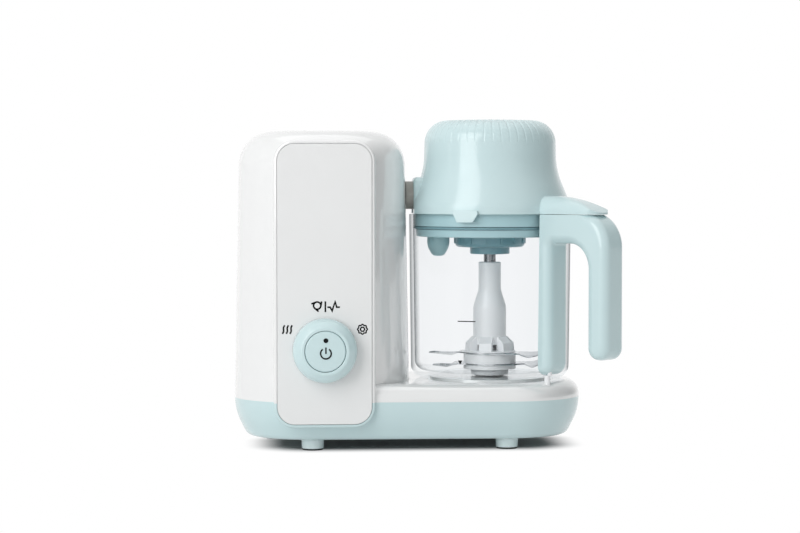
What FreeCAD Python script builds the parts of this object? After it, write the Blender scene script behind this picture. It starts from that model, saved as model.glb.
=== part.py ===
import FreeCAD, Part
import Sketcher
import math
import os

# Driving sizes of the baby food maker, in millimetres and degrees
SIZES = {
    # feet and housing
    "foot_height": 9.5,
    "foot_diameter": 18.8,
    "foot_spacing_x": 158.5,
    "foot_spacing_y": 84,
    "foot_pad_thickness": 1.5,
    "base_length": 285,
    "base_depth": 142,
    "base_corner": 62,
    "base_wall_depth": 13,
    "base_draft": 5,
    "base_lower_draft": 27,
    "base_turn": 45,
    "base_round": 7,
    "seam_height": 40.8,
    "deck_height": 54.8,
    "deck_round": 12,
    "seat_diameter": 100,
    "seat_rise": 1.5,
    "gland_height": 32.8,
    "housing_wall": 2.5,
    "tower_width": 144,
    "tower_height": 258.8,
    "tower_draft": 1.05,
    "tower_round": 28,
    # control panel, knob and button
    "panel_width": 75.5,
    "panel_low": 23.8,
    "panel_high": 247.8,
    "panel_corner": 14,
    "panel_thickness": 2.5,
    "panel_gap": 0.4,
    "frame_width": 2.8,
    "frame_proud": 4,
    "frame_edge": 2,
    "knob_height": 83.3,
    "knob_diameter": 51.4,
    "knob_depth": 17.5,
    "knob_stem": 16,
    "button_diameter": 32.4,
    "button_gap": 0.3,
    "button_stem": 7,
    "board_width": 56,
    "board_low": 51.8,
    "board_high": 117.8,
    "board_thickness": 1.6,
    "board_setback": 13,
    # water tank and steam circuit
    "tank_lid_length": 78,
    "tank_lid_depth": 70,
    "tank_lid_thickness": 4,
    "tank_lid_corner": 22.5,
    "tank_rear_corner": 3,
    "tank_pin_length": 84,
    "tank_length": 66,
    "tank_depth": 60,
    "tank_bottom": 167.8,
    "tank_wall": 2,
    "boiler_offset": 32,
    "boiler_diameter": 40,
    "boiler_height": 30,
    "boiler_spigot_offset": 12,
    "heater_tube": 5.6,
    "tube_diameter": 8,
    "tube_wall": 1.5,
    "tube_run_height": 131.8,
    "tube_bend": 14,
    "nozzle_height": 206.3,
    "nozzle_diameter": 15,
    "steam_bore": 8,
    "port_seal_diameter": 23,
    # motor, belt and spindle
    "chassis_height": 39.5,
    "chassis_thickness": 2.5,
    "motor_offset": 21,
    "motor_diameter": 52,
    "motor_length": 66,
    "motor_shaft": 8,
    "pulley_low": 14,
    "pulley_width": 12,
    "motor_pulley_diameter": 20,
    "drive_pulley_diameter": 60,
    "belt_thickness": 1.8,
    "spindle_diameter": 8,
    "bearing_diameter": 22,
    "bearing_width": 7,
    "driver_diameter": 21,
    "hex_width": 12.4,
    "hex_top": 65,
    "running_gap": 0.05,
    # jar and handle
    "jar_offset": 69.5,
    "jar_gap": 0.3,
    "jar_rim_height": 190.8,
    "jar_rim_diameter": 134.4,
    "jar_foot_diameter": 131,
    "jar_wall": 3.2,
    "jar_round": 10,
    "jar_floor": 61.3,
    "jar_boss_diameter": 36.4,
    "jar_boss_top": 73.6,
    "handle_angle": 48,
    "handle_width": 26.6,
    "handle_edge": 7.5,
    "strip_depth": 8.6,
    "strip_low": 60.6,
    "finger_gap": 37.6,
    "grip_thickness": 20.4,
    "grip_end_round": 9.6,
    "grip_low": 75.6,
    "arch_height": 167.8,
    "rod_diameter": 3.6,
    "plunger_diameter": 5,
    "plunger_offset": 1.3,
    # blade set
    "shaft_diameter": 10,
    "shaft_top": 163.8,
    "column_top": 150.8,
    "column_diameter": 18.6,
    "column_foot_diameter": 27.4,
    "hub_diameter": 43.4,
    "hub_low": 62.1,
    "hub_top": 77.3,
    "fin_top": 88.8,
    "fin_reach": 20,
    "fin_width": 10.5,
    "fin_count": 6,
    "fin_turn": 13,
    "fin_slot_width": 3.4,
    "fin_slot_height": 5,
    "blade_reach": 50.5,
    "blade_thickness": 1.2,
    "upper_blade_height": 74.8,
    "lower_blade_height": 65.8,
    "upper_blade_turn": -5,
    "lower_blade_turn": 15,
    # lid
    "lid_gap": 0.4,
    "lid_top": 269.3,
    "lid_rim_diameter": 134.8,
    "lid_waist_diameter": 110.2,
    "lid_waist_height": 227.3,
    "lid_waist_round": 60,
    "lid_rim_rise": 6,
    "lid_rim_round": 20,
    "lid_crown_diameter": 107.8,
    "lid_shoulder": 18.5,
    "lid_dome": 1.8,
    "lid_wall": 2.6,
    "flute_count": 48,
    "flute_diameter": 5.2,
    "flute_depth": 0.75,
    "flute_fade": 0.6,
    "port_reach": 64.5,
    "port_width": 30,
    "port_top": 221.3,
    "port_edge": 3,
    "tab_reach": 121.6,
    "tab_rise": 14.6,
    "tab_run": 49,
    "tab_tip": 1.4,
    "tab_edge": 12.5,
    "tab_corner": 12.5,
    "lock_tab_turn": 112.5,
    "lock_tab_low": 184.8,
    "skirt_diameter": 126.4,
    "skirt_low": 172.2,
    "skirt_wall": 2.4,
    "carrier_diameter": 58,
    "carrier_low": 163.3,
    "bush_carrier_diameter": 33,
    "bush_carrier_low": 157.5,
    "outlet_offset": 43,
    "outlet_diameter": 18.6,
    "outlet_low": 155.8,
}

document = FreeCAD.newDocument("baby_food_maker")
sheet = document.addObject("Spreadsheet::Sheet", "sizes")


class Size:
    """A value together with the sheet expression that gives it."""

    def __init__(self, value, text):
        self.value = float(value)
        self.text = text

    def __add__(self, other):
        other = as_size(other)
        return Size(self.value + other.value, f"({self.text} + {other.text})")

    def __sub__(self, other):
        other = as_size(other)
        return Size(self.value - other.value, f"({self.text} - {other.text})")

    def __mul__(self, other):
        other = as_size(other)
        return Size(self.value * other.value, f"({self.text} * {other.text})")

    def __truediv__(self, other):
        other = as_size(other)
        return Size(self.value / other.value, f"({self.text} / {other.text})")

    def __neg__(self):
        return Size(-self.value, f"(0 - {self.text})")

    def __radd__(self, other):
        return as_size(other) + self

    def __rsub__(self, other):
        return as_size(other) - self

    def __rmul__(self, other):
        return as_size(other) * self

    def __rtruediv__(self, other):
        return as_size(other) / self


def as_size(number):
    """Give a plain number the same form as a size from the sheet."""
    if isinstance(number, Size):
        return number
    return Size(number, f"({number})")


def sine(angle):
    return Size(math.sin(math.radians(angle.value)), f"sin({angle.text})")


def cosine(angle):
    return Size(math.cos(math.radians(angle.value)), f"cos({angle.text})")


def tangent(angle):
    return Size(math.tan(math.radians(angle.value)), f"tan({angle.text})")


def arc_tangent(slope):
    return Size(math.degrees(math.atan(slope.value)), f"atan({slope.text})")


def root(area):
    return Size(math.sqrt(area.value), f"sqrt({area.text})")


def smaller(first, second):
    first, second = as_size(first), as_size(second)
    return Size(min(first.value, second.value), f"min({first.text}; {second.text})")


class Sizes:
    """The sheet's sizes by name."""


dim = Sizes()
for row, (name, number) in enumerate(SIZES.items(), start=1):
    sheet.set(f"A{row}", name)
    sheet.set(f"B{row}", str(number))
    sheet.setAlias(f"B{row}", name)
document.recompute()
for name in SIZES:
    setattr(dim, name, Size(sheet.get(name), f"sizes.{name}"))

# Places that several pieces share. The row's origin is under the middle of the whole object.
STRIP_REACH = dim.jar_rim_diameter / 2 + dim.strip_depth
GRIP_INNER = STRIP_REACH + dim.finger_gap
GRIP_OUTER = GRIP_INNER + dim.grip_thickness
GRIP_EDGE = smaller(dim.handle_edge, dim.grip_thickness / 2 - 1)
REACH_RIGHT = ((GRIP_OUTER - GRIP_EDGE) * cosine(dim.handle_angle)
               + (dim.handle_width / 2 - GRIP_EDGE) * sine(dim.handle_angle) + GRIP_EDGE)
REACH_FRONT = ((GRIP_OUTER - GRIP_EDGE) * sine(dim.handle_angle)
               + (dim.handle_width / 2 - GRIP_EDGE) * cosine(dim.handle_angle) + GRIP_EDGE)
BASE_X = (dim.base_length / 2 - dim.jar_offset - REACH_RIGHT) / 2
BASE_Y = (REACH_FRONT - dim.base_depth / 2) / 2
TOWER_X = BASE_X - (dim.base_length - dim.tower_width) / 2
JAR_X = BASE_X + dim.jar_offset
MOTOR_X = TOWER_X + dim.motor_offset
BOILER_X = TOWER_X - dim.boiler_offset
FRONT = dim.base_depth / 2 + dim.frame_proud
FLOOR = dim.foot_height + dim.housing_wall
TOWER_RISE = dim.tower_height - dim.seam_height
LID_LOW = dim.jar_rim_height + dim.lid_gap
DECK_TOP = dim.deck_height + dim.seat_rise
JAR_LOW = dim.deck_height + dim.jar_gap
BOARD_FRONT = FRONT - dim.board_setback
SHAFT_GAP = dim.shaft_diameter / 2 + dim.running_gap
LEDGE = dim.tower_height - 7

NODES = []


def bind(thing, path, size):
    """Tie one property of an object to the sheet."""
    thing.setExpression(path, as_size(size).text)


def keep(thing, label):
    """Name a finished sub-part and put it on the list to write."""
    thing.Label = label
    NODES.append(thing)
    return thing


def place(thing, x=0, y=0, z=0, axis=None, angle=0):
    """Put an object in the shared frame, turned about one axis."""
    if axis is not None:
        thing.Placement = FreeCAD.Placement(FreeCAD.Vector(), FreeCAD.Rotation(axis, as_size(angle).value))
        bind(thing, "Placement.Rotation.Angle", angle)
    bind(thing, "Placement.Base.x", x)
    bind(thing, "Placement.Base.y", y)
    bind(thing, "Placement.Base.z", z)
    return thing


def new_body(name, x=0, y=0, z=0, axis=None, angle=0):
    body = document.addObject("PartDesign::Body", name)
    return place(body, x, y, z, axis, angle)


def turn_corner(before, corner, after, radius):
    """Tangent points and arc that round one corner of an outline."""
    back = (before - corner).normalize()
    ahead = (after - corner).normalize()
    half = back.getAngle(ahead) / 2
    entry = corner + back * (radius / math.tan(half))
    leave = corner + ahead * (radius / math.tan(half))
    centre = corner + (back + ahead).normalize() * (radius / math.sin(half))
    left = (corner - before).cross(after - corner).z > 0
    first, last = (entry, leave) if left else (leave, entry)
    angles = [math.atan2(point.y - centre.y, point.x - centre.x) for point in (first, last)]
    circle = Part.Circle(centre, FreeCAD.Vector(0, 0, 1), radius)
    return entry, leave, Part.ArcOfCircle(circle, angles[0], angles[1]), left


def pin_point(rules, bindings, shape, end, x, y):
    """Hold one point of a sketch at two sizes from the sheet."""
    for kind, axis, size in (("DistanceX", -2, x), ("DistanceY", -1, y)):
        if size.value == 0:
            rules.append(Sketcher.Constraint("PointOnObject", shape, end, axis))
        else:
            bindings.append((len(rules), size))
            rules.append(Sketcher.Constraint(kind, -1, 1, shape, end, size.value))


def draw_outline(sketch, corners, closed=True):
    """Straight sides through the corners; a corner's third value is the radius that rounds it."""
    corners = [tuple(as_size(value) for value in corner) for corner in corners]
    points = [FreeCAD.Vector(corner[0].value, corner[1].value, 0) for corner in corners]
    count = len(corners)
    first = sketch.GeometryCount
    shapes, rules, bindings = [], [], []
    starts, ends = list(points), list(points)
    arcs = {}
    for index, corner in enumerate(corners):
        if len(corner) == 3:
            before, after = points[index - 1], points[(index + 1) % count]
            turn = turn_corner(before, points[index], after, corner[2].value)
            ends[index], starts[index], arc, left = turn
            arcs[index] = (arc, left)
    sides = count if closed else count - 1
    for index in range(sides):
        shapes.append(Part.LineSegment(starts[index], ends[(index + 1) % count]))
    for index, (arc, left) in arcs.items():
        arcs[index] = (first + len(shapes), left)
        shapes.append(arc)
    sketch.addGeometry(shapes, False)
    for index, corner in enumerate(corners):
        before, after = first + (index - 1) % count, first + index
        if index in arcs:
            arc, left = arcs[index]
            mark = sketch.addGeometry(Part.Point(points[index]), True)
            rules.append(Sketcher.Constraint("Tangent", before, 2, arc, 1 if left else 2))
            rules.append(Sketcher.Constraint("Tangent", arc, 2 if left else 1, after, 1))
            bindings.append((len(rules), corner[2]))
            rules.append(Sketcher.Constraint("Radius", arc, corner[2].value))
            rules.append(Sketcher.Constraint("PointOnObject", mark, 1, before))
            rules.append(Sketcher.Constraint("PointOnObject", mark, 1, after))
            pin_point(rules, bindings, mark, 1, corner[0], corner[1])
        elif not closed and index == count - 1:
            pin_point(rules, bindings, before, 2, corner[0], corner[1])
        else:
            if closed or index > 0:
                rules.append(Sketcher.Constraint("Coincident", before, 2, after, 1))
            pin_point(rules, bindings, after, 1, corner[0], corner[1])
    add_rules(sketch, rules, bindings)


def draw_circle(sketch, x, y, radius):
    x, y, radius = as_size(x), as_size(y), as_size(radius)
    centre = FreeCAD.Vector(x.value, y.value, 0)
    shape = sketch.addGeometry(Part.Circle(centre, FreeCAD.Vector(0, 0, 1), radius.value), False)
    rules, bindings = [], []
    pin_point(rules, bindings, shape, 3, x, y)
    bindings.append((len(rules), radius))
    rules.append(Sketcher.Constraint("Radius", shape, radius.value))
    add_rules(sketch, rules, bindings)


def add_rules(sketch, rules, bindings):
    first = sketch.ConstraintCount
    sketch.addConstraint(rules)
    for index, size in bindings:
        bind(sketch, f"Constraints[{first + index}]", size)


def sketch_on(body, plane, loops, offset=0, closed=True):
    """A sketch on one of the body's own planes. A loop of three sizes is a circle."""
    sketch = body.newObject("Sketcher::SketchObject", body.Name + "_sketch")
    support = [feature for feature in body.Origin.OriginFeatures if feature.Role == plane][0]
    sketch.AttachmentSupport = [(support, "")]
    sketch.MapMode = "FlatFace"
    bind(sketch, "AttachmentOffset.Base.z", offset)
    for loop in loops:
        if isinstance(loop, tuple):
            draw_circle(sketch, *loop)
        else:
            draw_outline(sketch, loop, closed)
    return sketch


def pad(body, plane, loops, start, end, taper=None):
    """Material between two offsets along the plane's normal."""
    feature = body.newObject("PartDesign::Pad", body.Name + "_pad")
    feature.Profile = sketch_on(body, plane, loops, start)
    bind(feature, "Length", as_size(end) - start)
    if taper is not None:
        bind(feature, "TaperAngle", taper)
    return feature


def pocket(body, plane, loops, start, end):
    """Material taken away between two offsets along the plane's normal."""
    feature = body.newObject("PartDesign::Pocket", body.Name + "_pocket")
    feature.Profile = sketch_on(body, plane, loops, end)
    bind(feature, "Length", as_size(end) - start)
    return feature


def revolve(body, corners, kind="Revolution"):
    """A turned form about the body's own upright axis."""
    feature = body.newObject(f"PartDesign::{kind}", body.Name + "_turn")
    feature.Profile = sketch_on(body, "XZ_Plane", [corners])
    feature.ReferenceAxis = (feature.Profile[0], ["V_Axis"])
    feature.Angle = 360
    return feature


def repeat(body, feature, count):
    """Equal copies of one feature round the body's upright axis."""
    axis = [part for part in body.Origin.OriginFeatures if part.Role == "Z_Axis"][0]
    pattern = body.newObject("PartDesign::PolarPattern", body.Name + "_ring")
    pattern.Originals = [feature]
    pattern.Axis = (axis, [""])
    pattern.Angle = 360
    bind(pattern, "Occurrences", count)
    body.Tip = pattern
    return pattern


def round_edges(body, radius, chosen, kind="Fillet"):
    """Round or bevel the edges that the test picks."""
    base = body.Tip
    base.recompute(True)
    names = [f"Edge{index}" for index, edge in enumerate(base.Shape.Edges, start=1) if chosen(edge)]
    feature = body.newObject(f"PartDesign::{kind}", body.Name + "_edge")
    feature.Base = (base, names)
    bind(feature, "Radius" if kind == "Fillet" else "Size", radius)
    return feature


def at_height(edge, height):
    """Whether a whole edge lies at one height of its body."""
    return max(abs(edge.BoundBox.ZMin - height), abs(edge.BoundBox.ZMax - height)) < 0.01


def turned(label, corners, x=0, y=0, z=0, axis=None, angle=0):
    body = new_body(label, x, y, z, axis, angle)
    revolve(body, corners)
    return body


def plate(label, loops, low, high, x=0, y=0, axis=None, angle=0):
    body = new_body(label, x, y, 0, axis, angle)
    pad(body, "XY_Plane", loops, low, high)
    return body


def rectangle(length, depth, corner=None, x=0, y=0):
    """Corners of a rectangle about a point, with one radius for all of them."""
    ends = [(-1, -1), (1, -1), (1, 1), (-1, 1)]
    extra = () if corner is None else (corner,)
    return [(x + length * (side / 2), y + depth * (end / 2)) + extra for side, end in ends]


def cylinder(name, radius, length, x, y, z, direction=(0, 0, 1)):
    """A round bar from a point along a direction."""
    bar = document.addObject("Part::Cylinder", name)
    bind(bar, "Radius", radius)
    bind(bar, "Height", length)
    turn = FreeCAD.Rotation(FreeCAD.Vector(0, 0, 1), FreeCAD.Vector(*direction))
    bar.Placement = FreeCAD.Placement(FreeCAD.Vector(), turn)
    return place(bar, x, y, z)


def block(name, length, depth, height, x, y, z):
    """A box with its lowest corner at a point."""
    box = document.addObject("Part::Box", name)
    bind(box, "Length", length)
    bind(box, "Width", depth)
    bind(box, "Height", height)
    return place(box, x, y, z)


def join(name, shapes):
    union = document.addObject("Part::MultiFuse", name)
    union.Shapes = shapes
    return union


def cut(name, base, tools):
    result = document.addObject("Part::Cut", name)
    result.Base = base
    result.Tool = tools[0] if len(tools) == 1 else join(name + "_tools", tools)
    return result


def copies(label, shape, places):
    """One node of equal loose pieces, each at its own place."""
    group = document.addObject("Part::Feature", label)
    moved = []
    for spot in places:
        piece = shape.copy()
        piece.translate(FreeCAD.Vector(*[as_size(value).value for value in spot]))
        moved.append(piece)
    group.Shape = Part.makeCompound(moved)
    return keep(group, label)


def screw(head_radius, head_height, radius, length):
    """A pan-head screw, head under the origin and thread upwards."""
    head = Part.makeCylinder(head_radius, head_height, FreeCAD.Vector(0, 0, -head_height))
    head = head.makeFillet(head_height * 0.4, [head.Edges[2]])
    slot = Part.makeBox(head_radius * 1.3, head_height * 0.3, head_height * 0.4,
                        FreeCAD.Vector(-head_radius * 0.65, -head_height * 0.15, -head_height))
    return head.cut(slot).fuse(Part.makeCylinder(radius, length)).removeSplitter()


# Housing forms used by several pieces

def tapered_block(name, x, length, depth, corner, low, rise, draft, edge):
    """A drafted block on a rounded plan with its upper edge rounded."""
    body = new_body(name, x, BASE_Y)
    pad(body, "XY_Plane", [rectangle(length, depth, corner)], low, low + rise, -draft)
    high = low + rise
    round_edges(body, edge, lambda line: at_height(line, high.value))
    return body


def base_form(name, inset, low):
    """The base's upright wall and the lower wall that turns in under it, drawn in by an inset."""
    body = new_body(name, BASE_X, BASE_Y)
    turn = dim.seam_height - dim.base_wall_depth
    step = inset + dim.base_wall_depth * tangent(dim.base_draft)
    for margin, high, depth, draft in ((inset, dim.seam_height, dim.base_wall_depth, dim.base_draft),
                                       (step, turn, turn - low, dim.base_lower_draft)):
        plan = rectangle(dim.base_length - margin * 2, dim.base_depth - margin * 2, dim.base_corner - margin)
        wall = pad(body, "XY_Plane", [plan], high, high + depth, -draft)
        wall.Reversed = True
    round_edges(body, dim.base_turn - inset, lambda line: at_height(line, turn.value))
    round_edges(body, dim.base_round - inset, lambda line: at_height(line, low.value))
    return body


def panel_block(name, margin, low, high, back, front, low_round=False, high_round=False):
    """A slab of the control panel's outline, widened by a margin, between two depths."""
    body = new_body(name, TOWER_X, BASE_Y)
    half = dim.panel_width / 2 + margin
    corner = dim.panel_corner + margin
    foot = (corner,) if low_round else ()
    head = (corner,) if high_round else ()
    outline = [(-half, low) + foot, (half, low) + foot, (half, high) + head, (-half, high) + head]
    pad(body, "XZ_Plane", [outline], back, front)
    return body


def front_edges(line):
    """Edges of a panel slab that lie in its front face, away from the seam."""
    box = line.BoundBox
    flat = max(abs(box.YMin + FRONT.value), abs(box.YMax + FRONT.value)) < 0.01
    return flat and not at_height(line, dim.seam_height.value)


def make_base_shell():
    wall = dim.housing_wall
    outer = base_form("base_outer", as_size(0), dim.foot_height)
    inner = base_form("base_inner", wall, FLOOR)
    frame = panel_block("base_frame", dim.frame_width, dim.panel_low - dim.frame_width, dim.seam_height,
                        FRONT - 34, FRONT, low_round=True)
    round_edges(frame, dim.frame_edge, front_edges)
    recess = panel_block("base_recess", dim.panel_gap, dim.panel_low - dim.panel_gap, dim.seam_height + 5,
                         FRONT - dim.panel_thickness + 0.3, FRONT + 5, low_round=True)
    gland_hole = cylinder("base_gland_hole", 6.1, 12, TOWER_X, BASE_Y + dim.base_depth / 2 - 8,
                          dim.gland_height, (0, 1, 0))
    holes = [cylinder("base_screw_hole", 1.75, wall * 2, x, y, dim.foot_height - 1)
             for x, y in chassis_legs()]
    body = join("base_body", [outer, frame])
    return keep(cut("base_shell_cut", body, [inner, recess, gland_hole] + holes), "base_shell")


def make_tower_shell():
    wall = dim.housing_wall
    outer = tapered_block("tower_outer", TOWER_X, dim.tower_width, dim.base_depth, dim.base_corner,
                          dim.seam_height, TOWER_RISE, dim.tower_draft, dim.tower_round)
    inner = tapered_block("tower_inner", TOWER_X, dim.tower_width - wall * 2, dim.base_depth - wall * 2,
                          dim.base_corner - wall, dim.seam_height, TOWER_RISE - wall, dim.tower_draft,
                          dim.tower_round - wall)
    frame = panel_block("tower_frame", dim.frame_width, dim.seam_height, dim.panel_high + dim.frame_width,
                        FRONT - 34, FRONT, high_round=True)
    round_edges(frame, dim.frame_edge, front_edges)
    recess = panel_block("tower_recess", dim.panel_gap, dim.seam_height - 5, dim.panel_high + dim.panel_gap,
                         FRONT - dim.panel_thickness + 0.3, FRONT + 5, high_round=True)
    shell = cut("tower_hollow", join("tower_body", [outer, frame]), [inner, recess])

    # The ledge round the tank mouth hangs under the top, and the board pegs stand on the front wall.
    ledge = plate("tower_ledge", [tank_lid_outline(4)], LEDGE - wall, dim.tower_height - 1, TOWER_X, BASE_Y)
    peg_back = FRONT - 8
    pegs = [cylinder("tower_peg", 3.2, dim.board_setback - 8, x, BASE_Y - peg_back, z, (0, 1, 0))
            for x, z in board_corners()]
    solid = join("tower_solid", [shell, ledge] + pegs)

    lid_recess = plate("tower_lid_recess", [tank_lid_outline(0.5)], LEDGE, dim.tower_height + 3, TOWER_X, BASE_Y)
    tank_hole = plate("tower_tank_hole", [rectangle(dim.tank_length + 0.6, dim.tank_depth + 0.6, 8)],
                      LEDGE - 10, LEDGE + 1, TOWER_X, BASE_Y)
    knob_hole = cylinder("tower_knob_hole", 9, 20, TOWER_X, BASE_Y - FRONT, dim.knob_height, (0, 1, 0))
    nozzle_hole = cylinder("tower_nozzle_hole", dim.nozzle_diameter / 2 + 0.2, 30,
                           TOWER_X + dim.tower_width / 2 - 20, BASE_Y, dim.nozzle_height, (1, 0, 0))
    nozzle_seat = cylinder("tower_nozzle_seat", dim.nozzle_diameter / 2 + 3.3, 12,
                           wall_x() - wall - 12.05, BASE_Y, dim.nozzle_height, (1, 0, 0))
    hinge_hole = cylinder("tower_hinge_hole", 1.05, dim.tank_pin_length + 1,
                          TOWER_X - (dim.tank_pin_length + 1) / 2, hinge_y(), hinge_z(), (1, 0, 0))
    swing = cylinder("tower_hinge_swing", dim.tank_lid_thickness / 2 * 1.42 + 0.4, dim.tank_lid_length + 1,
                     TOWER_X - (dim.tank_lid_length + 1) / 2, hinge_y(), hinge_z(), (1, 0, 0))
    peg_holes = [cylinder("tower_peg_hole", 1.35, dim.board_setback - 8, x, BASE_Y - peg_back, z, (0, 1, 0))
                 for x, z in board_corners()]
    vents = [block("tower_vent", 40, 20, 2.5, TOWER_X - 20, BASE_Y + dim.base_depth / 2 - 16, 60 + 7 * step)
             for step in range(6)]
    tools = [lid_recess, tank_hole, knob_hole, nozzle_hole, nozzle_seat, hinge_hole, swing] + peg_holes + vents
    return keep(cut("tower_shell_cut", solid, tools), "tower_shell")


def make_deck_cover():
    wall = dim.housing_wall
    rise = dim.deck_height - dim.seam_height
    outer = tapered_block("deck_outer", BASE_X, dim.base_length, dim.base_depth, dim.base_corner,
                          dim.seam_height, rise, as_size(0.5), dim.deck_round)
    inner = tapered_block("deck_inner", BASE_X, dim.base_length - wall * 2, dim.base_depth - wall * 2,
                          dim.base_corner - wall, dim.seam_height, rise - wall, as_size(0.5),
                          dim.deck_round - wall)
    seat = plate("deck_seat", [(0, 0, dim.seat_diameter / 2)], dim.deck_height - 1, DECK_TOP, JAR_X, BASE_Y)
    guide = document.addObject("Part::MultiCommon", "deck_guide")
    guide.Shapes = [outer, cylinder("deck_guide_post", dim.plunger_diameter / 2 + 2, rise,
                                    plunger_x(), plunger_y(), switch_top() + 0.3)]
    tower_plan = rectangle(dim.tower_width + 0.2, dim.base_depth + 0.2, dim.base_corner)
    tower = plate("deck_tower_edge", [tower_plan], dim.seam_height - 5, dim.deck_height + 5, TOWER_X, BASE_Y)
    frame = panel_block("deck_frame_edge", dim.frame_width + 0.1, dim.seam_height - 5, dim.deck_height + 5,
                        0, FRONT + 5)
    trim = block("deck_trim", dim.tower_width, dim.base_depth + 10, 30,
                 TOWER_X - dim.tower_width + 19, BASE_Y - dim.base_depth / 2 - 5, dim.seam_height - 5)
    spindle_hole = cylinder("deck_spindle_hole", dim.driver_diameter / 2 + 1.5, 30, JAR_X, BASE_Y, 40)
    plunger_hole = cylinder("deck_plunger_hole", dim.plunger_diameter / 2 + dim.running_gap, 40,
                            plunger_x(), plunger_y(), 30)
    screw_holes = [cylinder("deck_screw_hole", 1.35, 2.2, x, y, dim.deck_height - wall - 0.2)
                   for x, y in bearing_screw_places()]
    solid = join("deck_solid", [cut("deck_hollow", outer, [inner]), seat, guide])
    tools = [tower, frame, trim, spindle_hole, plunger_hole] + screw_holes
    return keep(cut("deck_cover_cut", solid, tools), "deck_cover")


def make_feet():
    """Four posts under the base, each with a rubber pad below it."""
    radius = dim.foot_diameter / 2
    places = [(BASE_X + dim.foot_spacing_x * (side / 2), BASE_Y + dim.foot_spacing_y * (end / 2), 0)
              for side in (-1, 1) for end in (-1, 1)]
    height = dim.foot_height - dim.foot_pad_thickness
    post = Part.makeCone(radius.value - 0.6, radius.value, height.value,
                         FreeCAD.Vector(0, 0, dim.foot_pad_thickness.value))
    sole = Part.makeCylinder(radius.value - 1, dim.foot_pad_thickness.value)
    copies("feet", post, places)
    copies("foot_pads", sole.makeFillet(0.4, [sole.Edges[2]]), places)


# Control panel

def board_corners():
    """Fixing points of the control board, as X and height."""
    half = dim.board_width / 2 - 5
    return [(TOWER_X + half * side, height) for side in (-1, 1)
            for height in (dim.board_low + 5, dim.board_high - 5)]


def make_front_panel():
    body = panel_block("front_panel", as_size(0), dim.panel_low, dim.panel_high,
                       FRONT - dim.panel_thickness + 0.3, FRONT + 0.3, low_round=True, high_round=True)
    pocket(body, "XZ_Plane", [(0, dim.knob_height, 9)], FRONT - 20, FRONT + 5)
    face = -(FRONT.value + 0.3)

    def on_face(line):
        box = line.BoundBox
        return max(abs(box.YMin - face), abs(box.YMax - face)) < 0.01

    round_edges(body, 0.5, on_face)
    keep(body, "front_panel")


def facing(label, corners):
    """A turned piece whose axis comes straight out of the panel at the knob."""
    body = turned(label, corners, TOWER_X, BASE_Y - FRONT, dim.knob_height, FreeCAD.Vector(1, 0, 0), 90)
    return keep(body, label)


def make_controls():
    rim = dim.knob_diameter / 2
    well = dim.button_diameter / 2 + dim.button_gap
    depth = dim.knob_depth
    stem, pin = dim.knob_stem / 2, dim.button_stem / 2
    bore = pin + dim.running_gap
    back = -dim.board_setback
    ring = stem + dim.running_gap
    facing("selector_knob", [(bore, back + 4), (stem, back + 4), (stem, 5), (rim - 3.2, 5), (rim - 3.2, 0.9),
                             (rim, 0.9), (rim, depth - 5.5, 9), (well + 2.4, depth, 2.2), (well, depth, 0.6),
                             (well, depth - 8), (bore, depth - 8)])
    cap = dim.button_diameter / 2
    facing("power_button", [(0, back + 3.4), (pin, back + 3.4), (pin, depth - 5.5), (cap, depth - 5.5),
                            (cap, depth - 0.2, 1.2), (0, depth + 0.4)])
    facing("selector_switch", [(ring, back), (ring + 5, back), (ring + 5, back + 4.8, 1), (ring, back + 4.8)])
    facing("power_switch", [(0, back), (3, back), (3, back + 1.1, 0.3), (0, back + 1.1)])

    board = new_body("control_board", TOWER_X, BASE_Y)
    middle = (dim.board_high + dim.board_low) / 2
    outline = rectangle(dim.board_width, dim.board_high - dim.board_low, 3, 0, middle)
    holes = [(x - TOWER_X, z, 1.7) for x, z in board_corners()]
    pad(board, "XZ_Plane", [outline] + holes, BOARD_FRONT - dim.board_thickness, BOARD_FRONT)
    keep(board, "control_board")
    small = screw(2.6, 2, 1.3, 5).rotated(FreeCAD.Vector(), FreeCAD.Vector(1, 0, 0), 90)
    rear = BASE_Y - BOARD_FRONT + dim.board_thickness
    copies("board_screws", small, [(x, rear, z) for x, z in board_corners()])


# Water tank

def tank_lid_outline(margin):
    """The lid's plan, grown all round by a margin: large corners at the front, small ones at the hinge."""
    side = dim.tank_lid_length / 2 + margin
    end = dim.tank_lid_depth / 2 + margin
    front, rear = dim.tank_lid_corner + margin, dim.tank_rear_corner + margin
    return [(-side, -end, front), (side, -end, front), (side, end, rear), (-side, end, rear)]


def hinge_y():
    return BASE_Y + dim.tank_lid_depth / 2 - dim.tank_lid_thickness / 2


def hinge_z():
    return dim.tower_height - dim.tank_lid_thickness / 2


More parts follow.
